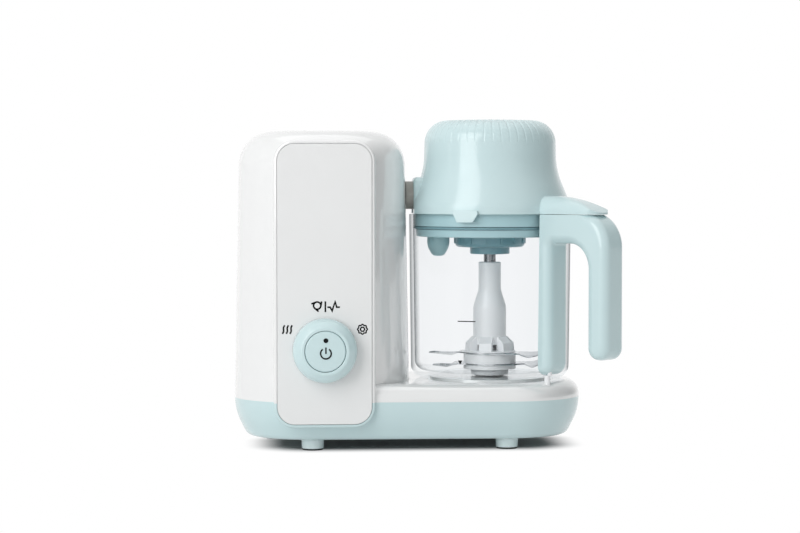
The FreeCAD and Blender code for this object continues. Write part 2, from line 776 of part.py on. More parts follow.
def make_tank():
    length, depth, wall = dim.tank_length, dim.tank_depth, dim.tank_wall
    body = new_body("water_tank", TOWER_X, BASE_Y)
    pad(body, "XY_Plane", [rectangle(length, depth, 7.5)], dim.tank_bottom, LEDGE + 1.5)
    pad(body, "XY_Plane", [rectangle(length + 8, depth + 6, 16)], LEDGE, LEDGE + 1.5)
    pad(body, "XY_Plane", [(-dim.boiler_offset + 8, 0, 4.5)], dim.tank_bottom - 8, dim.tank_bottom + 1)
    pocket(body, "XY_Plane", [rectangle(length - wall * 2, depth - wall * 2, 5.5)],
           dim.tank_bottom + wall, LEDGE + 5)
    pocket(body, "XY_Plane", [(-dim.boiler_offset + 8, 0, 2.2)], dim.tank_bottom - 12, dim.tank_bottom + 5)
    keep(body, "water_tank")

    # The lid's rear edge is round about its hinge pin, so it swings clear of the tower.
    thick = dim.tank_lid_thickness
    lid = new_body("tank_lid_side", TOWER_X, BASE_Y)
    back, front = dim.tank_lid_depth / 2, -dim.tank_lid_depth / 2
    low, high = dim.tower_height - thick, dim.tower_height
    round_rear = thick / 2 - 0.01
    side = [(front, low), (back, low, round_rear), (back, high, round_rear), (front, high)]
    half = dim.tank_lid_length / 2
    pad(lid, "YZ_Plane", [side], -half, half)
    pocket(lid, "YZ_Plane", [(back - thick / 2, high - thick / 2, 1.06)], -half - 1, half + 1)
    pocket(lid, "XY_Plane", [rectangle(22, 9, 4, 0, front + 2)], high - 1.4, high + 1)
    plan = plate("tank_lid_plan", [tank_lid_outline(0)], low - 1, high + 1, TOWER_X, BASE_Y)
    cover = document.addObject("Part::MultiCommon", "tank_lid")
    cover.Shapes = [lid, plan]
    keep(cover, "tank_lid")
    rims = [rectangle(length + 3, depth + 2, 12), rectangle(length - 5, depth - 6, 8)]
    keep(plate("tank_lid_seal", rims, LEDGE + 1.8, low, TOWER_X, BASE_Y), "tank_lid_seal")
    pin = cylinder("tank_lid_pin", 1, dim.tank_pin_length, TOWER_X - dim.tank_pin_length / 2,
                   hinge_y(), hinge_z(), (1, 0, 0))
    keep(pin, "tank_lid_pin")


# Steam circuit

def boiler_low():
    return dim.chassis_height + dim.chassis_thickness


def make_boiler():
    low = boiler_low()
    radius = dim.boiler_diameter / 2
    high = low + dim.boiler_height
    body = turned("boiler_body", [(0, low), (radius, low), (radius, high), (radius - 3, high),
                                  (radius - 3, low + 4, 3), (0, low + 4)], BOILER_X, BASE_Y)
    keep(body, "boiler_body")
    cover = turned("boiler_cover", [(0, high), (radius, high), (radius, high + 3, 0.8), (0, high + 3)],
                   BOILER_X, BASE_Y)
    spigot = dim.tube_diameter / 2 - dim.tube_wall - 0.05
    for x, y in ((8, 0), (0, -dim.boiler_spigot_offset)):
        pad(cover, "XY_Plane", [(x, y, spigot)], high + 2, high + 12)
        pocket(cover, "XY_Plane", [(x, y, spigot - 1)], high - 1, high + 14)
    keep(cover, "boiler_cover")
    tube = dim.heater_tube / 2
    ring = document.addObject("Part::Torus", "heater_element")
    bind(ring, "Radius1", radius + tube + 0.05)
    bind(ring, "Radius2", tube)
    place(ring, BOILER_X, BASE_Y, low + dim.boiler_height / 2)
    keep(ring, "heater_element")
    stat = turned("thermostat", [(0, high + 3), (6, high + 3), (6, high + 8, 0.8), (2.5, high + 8),
                                 (2.5, high + 11), (0, high + 11)], BOILER_X, BASE_Y + 11)
    keep(stat, "thermostat")
    return high


def make_tubes(boiler_top):
    outer, bore = dim.tube_diameter / 2, dim.tube_diameter / 2 - dim.tube_wall
    low = boiler_top + 3.2
    tank_spout = dim.tank_bottom - 8
    feed = new_body("feed_tube", BOILER_X + 8, BASE_Y)
    pad(feed, "XY_Plane", [(0, 0, outer), (0, 0, bore)], low, tank_spout - 0.1)
    keep(feed, "feed_tube")

    # The steam tube leaves the boiler in front of the feed tube and runs slantwise to the nozzle.
    along, across = nozzle_inlet_x() - BOILER_X, dim.boiler_spigot_offset
    run = root(along * along + across * across)
    tube = new_body("steam_tube", BOILER_X, BASE_Y - across, 0, FreeCAD.Vector(0, 0, 1),
                    arc_tangent(across / along))
    bend, height = dim.tube_bend, dim.tube_run_height
    path = sketch_on(tube, "XZ_Plane", [[(0, low), (0, height, bend), (run, height, bend),
                                         (run, dim.nozzle_height - 14)]], closed=False)
    ring = sketch_on(tube, "XY_Plane", [(0, 0, outer), (0, 0, bore)], low)
    pipe = tube.newObject("PartDesign::AdditivePipe", "steam_tube_pipe")
    pipe.Profile = ring
    pipe.Spine = path
    keep(tube, "steam_tube")


def nozzle_inlet_x():
    return TOWER_X + dim.tower_width / 2 - 14


def wall_x():
    """Outside of the tower's right wall at the height of the steam nozzle."""
    return TOWER_X + dim.tower_width / 2 - (dim.nozzle_height - dim.seam_height) * tangent(dim.tower_draft)


def make_nozzle():
    radius, bore = dim.nozzle_diameter / 2, dim.steam_bore / 2
    inlet, inside = nozzle_inlet_x(), wall_x() - dim.housing_wall
    height = dim.nozzle_height

    def bar(name, size, length, x):
        return cylinder(name, size, length, x, BASE_Y, height, (1, 0, 0))

    tube_bore = dim.tube_diameter / 2 - dim.tube_wall
    spigot = cylinder("nozzle_spigot", tube_bore - 0.05, 24, inlet, BASE_Y, height - 24)
    upward = cylinder("nozzle_inlet", tube_bore - 1, 30, inlet, BASE_Y, height - 30)
    body = join("nozzle_body", [bar("nozzle_barrel", radius, wall_x() - inlet, inlet),
                                bar("nozzle_flange", radius + 3, 2.5, inside - 5),
                                bar("nozzle_end", radius, 4, inlet - 4), spigot])
    keep(cut("steam_nozzle_cut", body, [bar("nozzle_bore", bore, 40, inlet), upward]), "steam_nozzle")
    ring = bar("nozzle_ring", radius + 3, 2.1, inside - 2.45)
    keep(cut("nozzle_seal_cut", ring, [bar("nozzle_ring_hole", radius + 0.05, 5, inside - 4)]), "nozzle_seal")


def make_cord_gland():
    flange, length = 5.9, 9.7
    rear = dim.base_depth / 2
    body = turned("cord_gland", [(3.6, 0), (6, 0), (6, flange), (8.5, flange), (8.5, length, 1), (3.6, length)],
                  TOWER_X, BASE_Y + rear, dim.gland_height, FreeCAD.Vector(1, 0, 0), 90)
    keep(body, "cord_gland")


# Motor, belt and spindle

def chassis_legs():
    return [(TOWER_X + side, BASE_Y + 28 * end) for side in (-43, 45) for end in (-1, 1)]


def make_chassis():
    low = dim.chassis_height
    high = low + dim.chassis_thickness
    body = new_body("chassis_plate", TOWER_X, BASE_Y)
    hole = (dim.motor_offset, 0, 12)
    screws = [(x - TOWER_X, y - BASE_Y, 1.7) for x, y in motor_screw_places()]
    outline = rectangle(108, 68, 12, -2, 0)
    pad(body, "XY_Plane", [outline, hole] + screws, low, high)
    for x, y in chassis_legs():
        pad(body, "XY_Plane", [(x - TOWER_X, y - BASE_Y, 4.5)], FLOOR, low + 1)
        pocket(body, "XY_Plane", [(x - TOWER_X, y - BASE_Y, 1.65)], FLOOR - 1, FLOOR + 16)
    keep(body, "chassis_plate")
    copies("chassis_screws", screw(3.2, 2, 1.6, 16), [(x, y, dim.foot_height) for x, y in chassis_legs()])


def motor_screw_places():
    reach = dim.motor_diameter / 2 * 0.5
    return [(MOTOR_X + reach * side, BASE_Y + reach * end) for side in (-1, 1) for end in (-1, 1)]


def make_motor():
    low = dim.chassis_height + dim.chassis_thickness
    cap_top = low + 4
    high = low + dim.motor_length
    radius = dim.motor_diameter / 2
    shaft = dim.motor_shaft / 2
    bore = shaft + dim.running_gap
    cap = turned("motor_end_cap", [(bore, low), (radius, low), (radius, cap_top), (bore, cap_top)],
                 MOTOR_X, BASE_Y)
    for x, y in motor_screw_places():
        pocket(cap, "XY_Plane", [(x - MOTOR_X, y - BASE_Y, 1.65)], low - 1, cap_top - 0.8)
    keep(cap, "motor_end_cap")
    can = turned("motor_can", [(radius - 1.5, cap_top), (radius, cap_top), (radius, high, 3), (9, high),
                               (9, high + 3, 1), (0, high + 3), (0, high + 1.5), (bore, high + 1.5),
                               (bore, high - 1.5), (radius - 1.5, high - 1.5, 1.5)], MOTOR_X, BASE_Y)
    keep(can, "motor_can")
    magnets = turned("motor_magnets", [(radius - 4.5, cap_top + 6), (radius - 1.55, cap_top + 6),
                                       (radius - 1.55, high - 10), (radius - 4.5, high - 10)],
                     MOTOR_X, BASE_Y)
    keep(magnets, "motor_magnets")
    core, end = radius - 5, dim.pulley_low - 0.5
    rotor = turned("motor_rotor", [(0, end), (shaft, end), (shaft, cap_top + 1), (9, cap_top + 1),
                                   (9, cap_top + 7), (core, cap_top + 7), (core, high - 11),
                                   (shaft, high - 11), (shaft, high + 1), (0, high + 1)], MOTOR_X, BASE_Y)
    keep(rotor, "motor_rotor")
    copies("motor_screws", screw(3, 2.2, 1.6, 5),
           [(x, y, dim.chassis_height) for x, y in motor_screw_places()])


def pulley(label, x, diameter, bore, web=None):
    """A flanged pulley; a large one is dished between hub and rim."""
    low, high = dim.pulley_low, dim.pulley_low + dim.pulley_width
    rim = diameter / 2
    lip = rim + dim.belt_thickness + 0.6
    corners = [(bore, low)]
    if web is not None:
        corners += [(9, low), (9, low + 4), (rim - 4, low + 4), (rim - 4, low)]
    corners += [(lip, low), (lip, low + 0.9), (rim, low + 0.9)]
    corners += [(rim, high - 0.9), (lip, high - 0.9), (lip, high)]
    if web is not None:
        corners += [(rim - 4, high), (rim - 4, high - 4), (9, high - 4), (9, high)]
    corners += [(bore, high)]
    return keep(turned(label, corners, x, BASE_Y), label)


def make_belt_drive():
    pulley("motor_pulley", MOTOR_X, dim.motor_pulley_diameter, dim.motor_shaft / 2 + 0.01)
    pulley("drive_pulley", JAR_X, dim.drive_pulley_diameter, dim.spindle_diameter / 2 + 0.01, web=True)
    belt = new_body("drive_belt", MOTOR_X, BASE_Y)
    span = JAR_X - MOTOR_X
    lean = (dim.drive_pulley_diameter - dim.motor_pulley_diameter) / 2 / span
    upright = root(1 - lean * lean)
    low, high = dim.pulley_low + 1, dim.pulley_low + dim.pulley_width - 1
    for make, extra, margin in ((pad, dim.belt_thickness + 0.1, 0), (pocket, as_size(0.1), 1)):
        small = dim.motor_pulley_diameter / 2 + extra
        large = dim.drive_pulley_diameter / 2 + extra
        side = [(-lean * small, upright * small), (span - lean * large, upright * large)]
        other = [(x, -y) for x, y in reversed(side)]
        for loop in (side + other, (0, 0, small), (span, 0, large)):
            make(belt, "XY_Plane", [loop], low - margin, high + margin)
    keep(belt, "drive_belt")


def bearing_screw_places():
    turns = [as_size(turn) for turn in (45, 135, 225, 315)]
    return [(JAR_X + 20 * cosine(turn), BASE_Y + 20 * sine(turn)) for turn in turns]


def make_spindle():
    top = dim.deck_height - dim.housing_wall
    upper = top - 3.5
    width = dim.bearing_width
    lower = upper - width * 2 - 4
    race = dim.bearing_diameter / 2
    seat, shelf = race + 0.02, race - 2.5
    carrier = turned("bearing_housing", [(seat, lower - 1), (race + 4, lower - 1), (race + 4, top - 3, 1.5),
                                         (25, top - 3), (25, top), (seat, top), (seat, upper - width),
                                         (shelf, upper - width), (shelf, lower + width),
                                         (seat, lower + width)], JAR_X, BASE_Y)
    for x, y in bearing_screw_places():
        pocket(carrier, "XY_Plane", [(x - JAR_X, y - BASE_Y, 1.6)], top - 5, top + 1)
    keep(carrier, "bearing_housing")
    bore = dim.spindle_diameter / 2 + dim.running_gap
    ring = Part.makeCylinder(race.value, width.value).cut(Part.makeCylinder(bore.value, width.value))
    copies("spindle_bearings", ring, [(JAR_X, BASE_Y, upper - width), (JAR_X, BASE_Y, lower)])
    copies("bearing_screws", screw(2.8, 2, 1.3, 4.6), [(x, y, top - 3) for x, y in bearing_screw_places()])
    driver = dim.driver_diameter / 2
    seal = turned("spindle_seal", [(driver + 0.3, top), (driver + 1.45, top), (driver + 1.45, DECK_TOP),
                                   (driver + 0.3, DECK_TOP)], JAR_X, BASE_Y)
    keep(seal, "spindle_seal")

    radius = dim.spindle_diameter / 2
    spindle = turned("drive_spindle", [(0, dim.pulley_low - 0.5), (radius, dim.pulley_low - 0.5),
                                       (radius, DECK_TOP + 4), (0, DECK_TOP + 4)], JAR_X, BASE_Y)
    keep(spindle, "drive_spindle")
    coupling = new_body("driver_coupling", JAR_X, BASE_Y)
    hole = (0, 0, radius + 0.01)
    pad(coupling, "XY_Plane", [(0, 0, driver)], upper + 0.5, DECK_TOP + 0.4)
    pad(coupling, "XY_Plane", [hexagon(dim.hex_width)], DECK_TOP, dim.hex_top)
    pocket(coupling, "XY_Plane", [hole], upper - 1, DECK_TOP + 4.1)
    keep(coupling, "driver_coupling")


def hexagon(width):
    """Corners of a hexagon by its width across flats."""
    reach = width / 2 / cosine(as_size(30))
    turns = [as_size(60 * step) for step in range(6)]
    return [(reach * cosine(turn), reach * sine(turn)) for turn in turns]


# Interlock

def plunger_reach():
    return dim.jar_rim_diameter / 2 + dim.plunger_offset


def plunger_x():
    return JAR_X + plunger_reach() * cosine(dim.handle_angle + 5)


def plunger_y():
    return BASE_Y - plunger_reach() * sine(dim.handle_angle + 5)


def switch_top():
    return dim.seam_height + 1


def make_interlock():
    foot = switch_top() + 0.5
    plunger = cylinder("interlock_plunger", dim.plunger_diameter / 2, dim.strip_low - 0.5 - foot,
                       plunger_x(), plunger_y(), foot)
    keep(plunger, "interlock_plunger")
    switch = block("interlock_switch", 16, 8, 8, plunger_x() - 15, plunger_y() - 1.5, switch_top() - 8)
    keep(switch, "interlock_switch")
    rod = new_body("interlock_rod", JAR_X, BASE_Y, 0, FreeCAD.Vector(0, 0, -1), dim.handle_angle)
    low, high = dim.strip_low - 0.2, dim.jar_rim_height + 0.15
    pad(rod, "XY_Plane", [(rod_reach(), -6, dim.rod_diameter / 2)], low, high)
    keep(rod, "interlock_rod")


def rod_reach():
    return (dim.jar_rim_diameter / 2 + STRIP_REACH) / 2 - 0.6


# Jar

def make_jar():
    foot, rim = dim.jar_foot_diameter / 2, dim.jar_rim_diameter / 2
    wall, top, floor = dim.jar_wall, dim.jar_rim_height, dim.jar_floor
    boss = dim.jar_boss_diameter / 2
    seat = dim.seat_diameter / 2 + 1
    under = floor - 3.5
    bush = bush_radius() + 0.02
    ceiling = dim.jar_boss_top - 3.5
    jar = turned("jar", [(bush, ceiling), (boss - 1.8, ceiling), (boss - 1.8, under), (seat, under),
                         (seat, JAR_LOW), (foot, JAR_LOW, dim.jar_round), (rim, top, 1), (rim - wall, top, 1),
                         (foot - wall, floor, dim.jar_round - 2), (boss, floor, 1),
                         (boss, dim.jar_boss_top, 1.2), (bush, dim.jar_boss_top)], JAR_X, BASE_Y)
    keep(jar, "jar")
    radius = bush_radius()
    seal_top = dim.jar_boss_top + 1
    collar = radius + 2.5
    washer = turned("jar_shaft_seal", [(radius + 0.02, dim.jar_boss_top), (collar, dim.jar_boss_top),
                                       (collar, seal_top), (radius + 0.02, seal_top)], JAR_X, BASE_Y)
    keep(washer, "jar_shaft_seal")
    bearing = turned("jar_bush", [(SHAFT_GAP, ceiling - 0.4), (radius, ceiling - 0.4), (radius, seal_top),
                                  (collar, seal_top), (collar, seal_top + 1.8, 0.5),
                                  (radius, seal_top + 1.8), (radius, seal_top + 6, 0.6),
                                  (SHAFT_GAP, seal_top + 6)], JAR_X, BASE_Y)
    keep(bearing, "jar_bush")


def bush_radius():
    return dim.shaft_diameter / 2 + 2


def make_handle():
    body = new_body("handle", JAR_X, BASE_Y, 0, FreeCAD.Vector(0, 0, -1), dim.handle_angle)
    top, low = dim.jar_rim_height + 0.2, dim.strip_low
    strip, inner, outer = STRIP_REACH, GRIP_INNER, GRIP_OUTER
    root_x = dim.jar_rim_diameter / 2 - 8
    half = dim.handle_width / 2
    end = smaller(dim.grip_end_round, dim.grip_thickness / 2 - 0.5)
    side = [(root_x, low), (strip, low, 10), (strip, dim.arch_height, 3), (inner, dim.arch_height, 20),
            (inner, dim.grip_low, end), (outer, dim.grip_low, end), (outer, top - 8.1, 28),
            (outer - 17.4, top), (root_x, top)]
    pad(body, "XZ_Plane", [side], -half, half)

    def long_edge(line):
        """Edges along the outside of the bar, not those against the jar or under the lid."""
        box = line.BoundBox
        flat = box.YLength < 0.01 and abs(abs(box.YMin) - half.value) < 0.01
        under_lid = at_height(line, top.value)
        at_jar = abs(box.XMax - root_x.value) < 0.01
        return flat and not under_lid and not at_jar

    round_edges(body, GRIP_EDGE, long_edge)
    foot, rim = dim.jar_foot_diameter / 2 + 0.15, dim.jar_rim_diameter / 2 + 0.15
    wall = [(0, JAR_LOW), (foot, JAR_LOW), (rim, dim.jar_rim_height), (rim, top + 5), (0, top + 5)]
    revolve(body, wall, "Groove")
    pocket(body, "XY_Plane", [(rod_reach(), -6, dim.rod_diameter / 2 + dim.running_gap)], low - 5, top + 5)
    keep(body, "handle")


# Blade set

def make_blade_set():
    radius = dim.shaft_diameter / 2
    coupling_top = dim.jar_boss_top - 4.3
    socket_top = dim.hex_top + 0.6
    coupling_low = DECK_TOP + 1
    shaft = turned("blade_shaft", [(0, socket_top + 0.1), (radius, socket_top + 0.1),
                                   (radius, dim.shaft_top, 1), (0, dim.shaft_top)], JAR_X, BASE_Y)
    keep(shaft, "blade_shaft")
    outside = (0, 0, dim.jar_boss_diameter / 2 - 2.8)
    coupling = new_body("driven_coupling", JAR_X, BASE_Y)
    pad(coupling, "XY_Plane", [outside, hexagon(dim.hex_width + 0.5)], coupling_low, socket_top)
    pad(coupling, "XY_Plane", [outside, (0, 0, radius + 0.01)], socket_top, coupling_top)
    keep(coupling, "driven_coupling")

    bore = radius + 0.02
    top, hub = dim.column_top, dim.hub_diameter / 2
    slim, stout = dim.column_diameter / 2, dim.column_foot_diameter / 2
    cup = dim.jar_boss_diameter / 2 + 0.7
    ceiling = dim.hub_top - 2.7
    nest = bush_radius() + 4
    nest_top = dim.jar_boss_top + 9
    sleeve = turned("sleeve_form", [(bore, top), (slim, top, 1), (slim, top - 23, 16), (stout, top - 37, 16),
                                     (stout, dim.fin_top - 1), (stout - 0.4, dim.hub_top),
                                     (hub, dim.hub_top, 1.2), (hub, dim.hub_low), (cup, dim.hub_low),
                                     (cup, ceiling, 0.8), (nest, ceiling), (nest, nest_top),
                                     (bore, nest_top)], JAR_X, BASE_Y, 0, FreeCAD.Vector(0, 0, 1),
                    dim.fin_turn)
    fin = pad(sleeve, "XZ_Plane", [[(stout - 2, dim.hub_top - 1), (dim.fin_reach, dim.hub_top - 1),
                                    (dim.fin_reach - 0.8, dim.fin_top - 5), (stout, dim.fin_top),
                                    (stout - 2, dim.fin_top)]], -dim.fin_width / 2, dim.fin_width / 2)
    repeat(sleeve, fin, dim.fin_count)

    # Between the fins, drain slots open into the nest over the jar's bush.
    slots = new_body("sleeve_slots", JAR_X, BASE_Y, 0, FreeCAD.Vector(0, 0, 1),
                     dim.fin_turn + 180 / dim.fin_count)
    low = dim.hub_top + 0.2
    side = [(nest - 1, low), (stout + 1, low), (stout + 1, low + dim.fin_slot_height),
            (nest - 1, low + dim.fin_slot_height)]
    slot = pad(slots, "XZ_Plane", [side], -dim.fin_slot_width / 2, dim.fin_slot_width / 2)
    repeat(slots, slot, dim.fin_count)
    keep(cut("blade_sleeve_cut", sleeve, [slots]), "blade_sleeve")
    make_blade("upper_blade", dim.upper_blade_height, dim.upper_blade_turn)
    make_blade("lower_blade", dim.lower_blade_height, dim.lower_blade_turn)


def make_blade(label, height, turn):
    """A two-winged curved blade on a ring round the hub, bevelled along its leading edges."""
    hub = dim.hub_diameter / 2
    reach = dim.blade_reach
    top = height + dim.blade_thickness
    body = new_body(label, JAR_X, BASE_Y, 0, FreeCAD.Vector(0, 0, 1), turn)
    pad(body, "XY_Plane", [(0, 0, hub + 1)], height, top)
    wing = [(2, -hub + 4), (-5, -hub - 2), (hub + 4, -hub - 0.5, 40), (reach, 0), (reach - 5, 4),
            (hub + 10, -5, 18), (hub - 4, 8)]
    for side in (1, -1):
        outline = [(as_size(corner[0]) * side, as_size(corner[1]) * side) + corner[2:] for corner in wing]
        pad(body, "XY_Plane", [outline], height, top)
    pocket(body, "XY_Plane", [(0, 0, hub + 0.02)], height - 1, top + 1)

    def leading(line):
        """Upper edges on the swept-back front of each wing."""
        box = line.BoundBox
        middle = line.CenterOfMass
        far = math.hypot(middle.x, middle.y) > hub.value + 6
        return at_height(line, top.value) and far and middle.x * middle.y < 0 and box.DiagonalLength > 6

    round_edges(body, 0.7, leading, "Chamfer")
    keep(body, label)


# Lid

def port_x():
    return JAR_X - dim.port_reach


def dome(label, inset, low):
    """The lid's turned form, drawn in by an inset."""
    rim, waist, crown = dim.lid_rim_diameter / 2, dim.lid_waist_diameter / 2, dim.lid_crown_diameter / 2
    rim_top = LID_LOW + dim.lid_rim_rise
    return turned(label, [(0, low), (rim - inset, low), (rim - inset, rim_top, dim.lid_rim_round - inset),
                          (waist - inset, dim.lid_waist_height, dim.lid_waist_round + inset),
                          (crown - inset, dim.lid_top - dim.lid_dome - inset, dim.lid_shoulder - inset),
                          (0, dim.lid_top - inset)], JAR_X, BASE_Y)


def flute_cutters():
    """Grooves over the crown's shoulder, evenly round the lid, which fade out towards its side."""
    cutters = document.addObject("Part::Feature", "lid_flutes")
    bend = dim.lid_shoulder.value
    bore = dim.flute_diameter.value / 2
    path = bend + bore - dim.flute_depth.value
    edge = [FreeCAD.Vector(across.value, up.value, 0) for across, up in (
        (dim.lid_waist_diameter / 2, dim.lid_waist_height),
        (dim.lid_crown_diameter / 2, dim.lid_top - dim.lid_dome), (as_size(0), dim.lid_top))]
    middle = turn_corner(*edge, bend)[2].Center
    centre = FreeCAD.Vector(middle.x + dim.flute_fade.value, 0, middle.y)
    arc = Part.makeTorus(path, bore, FreeCAD.Vector(), FreeCAD.Vector(0, 0, 1), 0, 360, 78)
    arc.rotate(FreeCAD.Vector(), FreeCAD.Vector(0, 0, 1), 2)
    arc.rotate(FreeCAD.Vector(), FreeCAD.Vector(1, 0, 0), 90)
    arc.translate(centre)
    ends = []
    for turn in (2, 80):
        ray = FreeCAD.Vector(math.cos(math.radians(turn)), 0, math.sin(math.radians(turn)))
        ends.append(Part.makeSphere(bore, centre + ray * path))
    groove = arc.multiFuse(ends)
    count = int(dim.flute_count.value)
    ring = []
    for step in range(count):
        copy = groove.copy()
        copy.rotate(FreeCAD.Vector(), FreeCAD.Vector(0, 0, 1), 360 * (step + 0.5) / count)
        ring.append(copy)
    cutters.Shape = Part.makeCompound(ring)
    return place(cutters, JAR_X, BASE_Y)


def lid_tab():
    """The thumb tab over the handle: a rounded bar whose back falls to its tip in one arc."""
    form = new_body("lid_tab_form", JAR_X, BASE_Y, 0, FreeCAD.Vector(0, 0, -1), dim.handle_angle)
    low, half = LID_LOW + 0.2, dim.handle_width / 2
    fall = dim.tab_rise - dim.tab_tip
    bend = (dim.tab_run * dim.tab_run + fall * fall) / (fall * 2)
    start = dim.tab_reach - dim.tab_run

    def section(share):
        run = dim.tab_run * share
        rise = dim.tab_rise - bend + root(bend * bend - run * run)
        edge = smaller(dim.tab_edge, rise * 0.88)
        return [(-half, low), (half, low), (half, low + rise, edge), (-half, low + rise, edge)]

    pad(form, "YZ_Plane", [section(0)], start - 20, start)
    loft = form.newObject("PartDesign::AdditiveLoft", "lid_tab_loft")
    sections = [sketch_on(form, "YZ_Plane", [section(share)], start + dim.tab_run * share)
                for share in (0, 0.3, 0.55, 0.75, 0.9, 1)]
    loft.Profile = sections[0]
    loft.Sections = sections[1:]
    side, corner = half + 0.5, dim.tab_corner + 0.5
    plan = [(start - 30, -side), (dim.tab_reach, -side, corner), (dim.tab_reach, side, corner),
            (start - 30, side)]
    end = plate("lid_tab_plan", [plan], low - 1, low + dim.tab_rise + 1, JAR_X, BASE_Y,
                FreeCAD.Vector(0, 0, -1), dim.handle_angle)
    tab = document.addObject("Part::MultiCommon", "lid_tab")
    tab.Shapes = [form, end]
    return tab


def make_lid_shell():
    outer = dome("lid_outer", as_size(0), LID_LOW)
    inner = dome("lid_inner", dim.lid_wall, LID_LOW - 1)
    fluted = cut("lid_fluted", outer, [flute_cutters()])

    port = new_body("lid_port", JAR_X, BASE_Y)
    half = dim.port_width / 2
    arch = [(-half, LID_LOW), (half, LID_LOW), (half, dim.port_top, 8), (-half, dim.port_top, 8)]
    pad(port, "YZ_Plane", [arch], -dim.port_reach, -40)

    def port_rim(line):
        """Edges of the port's face, apart from the one in the lid's lower edge."""
        box = line.BoundBox
        return abs(box.XMax + dim.port_reach.value) < 0.01 and not at_height(line, LID_LOW.value)

    round_edges(port, dim.port_edge, port_rim)
    lock = new_body("lid_lock", JAR_X, BASE_Y, 0, FreeCAD.Vector(0, 0, -1), dim.lock_tab_turn)
    rim = dim.lid_rim_diameter / 2
    pad(lock, "YZ_Plane", [[(-10, LID_LOW + 3), (-10, LID_LOW), (-7, dim.lock_tab_low), (6, dim.lock_tab_low),
                            (10, LID_LOW), (10, LID_LOW + 3)]], rim - 7, rim + 2.8)
    jar_side = [(0, LID_LOW - 20), (rim + 0.4, LID_LOW - 20), (rim + 0.4, LID_LOW), (0, LID_LOW)]
    revolve(lock, jar_side, "Groove")

    solid = join("lid_solid", [fluted, port, lid_tab(), lock])
    flat = block("lid_flat", 20, 80, 60, port_x() - 20, BASE_Y - 40, LID_LOW - 10)
    bore = cylinder("lid_port_bore", duct_radius() + 0.05, 30, port_x() - 5, BASE_Y,
                    dim.nozzle_height, (1, 0, 0))
    seat = cylinder("lid_seal_seat", dim.port_seal_diameter / 2 + 0.05, 6.5, port_x() - 5, BASE_Y,
                    dim.nozzle_height, (1, 0, 0))
    keep(cut("lid_shell_cut", solid, [inner, flat, bore, seat]), "lid_shell")


def duct_radius():
    return dim.steam_bore / 2 + 1.8


def make_lid_inside():
    skirt, low = dim.skirt_diameter / 2, dim.skirt_low
    wall = dim.skirt_wall
    carrier, small = dim.carrier_diameter / 2, dim.bush_carrier_diameter / 2
    bush = dim.shaft_diameter / 2 + 3
    groove = skirt - wall
    inside = groove - wall
    top = LID_LOW + 2
    cup_floor = dim.carrier_low + 3
    seal_low, seal_high = low + 6, low + 8.8
    body = turned("lid_liner", [(bush + 0.02, dim.bush_carrier_low), (small, dim.bush_carrier_low, 1),
                                (small, dim.carrier_low), (carrier, dim.carrier_low, 3.5), (carrier, low),
                                (skirt - 2.2, low, 1), (skirt - 1.4, seal_low), (groove, seal_low),
                                (groove, seal_high), (skirt, seal_high), (skirt, top), (inside, top),
                                (inside, low + 2.6, 2), (carrier - 3, low + 2.6),
                                (carrier - 3, cup_floor, 1), (bush + 0.02, cup_floor)], JAR_X, BASE_Y)
    rib_side = [(-0.8, cup_floor), (0.8, cup_floor), (0.8, low + 0.5), (-0.8, low + 0.5)]
    rib = pad(body, "YZ_Plane", [rib_side], carrier - 1, carrier + 0.9)
    repeat(body, rib, as_size(14))
    pocket(body, "XY_Plane", [(-dim.outlet_offset, 0, duct_radius() + 1.1)], low - 1, low + 6)
    keep(body, "lid_liner")
    lip = skirt + 0.2
    seal = turned("lid_seal", [(groove + 0.02, seal_low), (lip, seal_low + 0.6, 0.4),
                               (lip, seal_high - 0.6, 0.4), (groove + 0.02, seal_high)], JAR_X, BASE_Y)
    keep(seal, "lid_seal")
    bush_low = dim.bush_carrier_low + 0.3
    bearing = turned("shaft_bush", [(SHAFT_GAP, bush_low), (bush, bush_low), (bush, cup_floor),
                                    (SHAFT_GAP, cup_floor)], JAR_X, BASE_Y)
    keep(bearing, "shaft_bush")

    # The duct enters through the side port and turns down to a tapering outlet with steam holes.
    pipe = duct_radius() + 1
    bulb = dim.outlet_diameter / 2
    tip, swell = dim.outlet_low, dim.outlet_low + (low - dim.outlet_low) / 2
    duct = turned("steam_duct", [(0, tip), (bulb / 2, tip, 5), (bulb, swell, 14), (bulb, low - 0.05),
                                 (pipe, low - 0.05), (pipe, dim.nozzle_height + pipe, 3),
                                 (0, dim.nozzle_height + pipe)], JAR_X - dim.outlet_offset, BASE_Y)
    reach = dim.port_reach - dim.outlet_offset - 1.6
    bore = dim.steam_bore / 2
    pad(duct, "YZ_Plane", [(0, dim.nozzle_height, duct_radius())], -reach, 0)
    pocket(duct, "YZ_Plane", [(0, dim.nozzle_height, bore)], -reach - 5, 0)
    pocket(duct, "XY_Plane", [(0, 0, bore)], dim.outlet_low + 6, dim.nozzle_height + 2)
    pocket(duct, "YZ_Plane", [(0, dim.outlet_low + 9, 2)], -20, 20)
    keep(duct, "steam_duct")

    # The soft ring sits in the port's face and bears on the tower's flush nozzle.
    start = wall_x() + 0.55
    ring = cylinder("port_ring", dim.port_seal_diameter / 2, port_x() + 1.45 - start, start, BASE_Y,
                    dim.nozzle_height, (1, 0, 0))
    hole = cylinder("port_ring_hole", bore + 0.5, 20, start - 5, BASE_Y, dim.nozzle_height, (1, 0, 0))
    keep(cut("lid_steam_seal_cut", ring, [hole]), "lid_steam_seal")


make_base_shell()
make_feet()
make_deck_cover()
make_tower_shell()
make_front_panel()
make_controls()
make_tank()
make_tubes(make_boiler())
make_nozzle()
make_cord_gland()
make_chassis()
make_motor()
make_belt_drive()
make_spindle()
make_interlock()
make_jar()
make_handle()
make_blade_set()
make_lid_shell()
make_lid_inside()

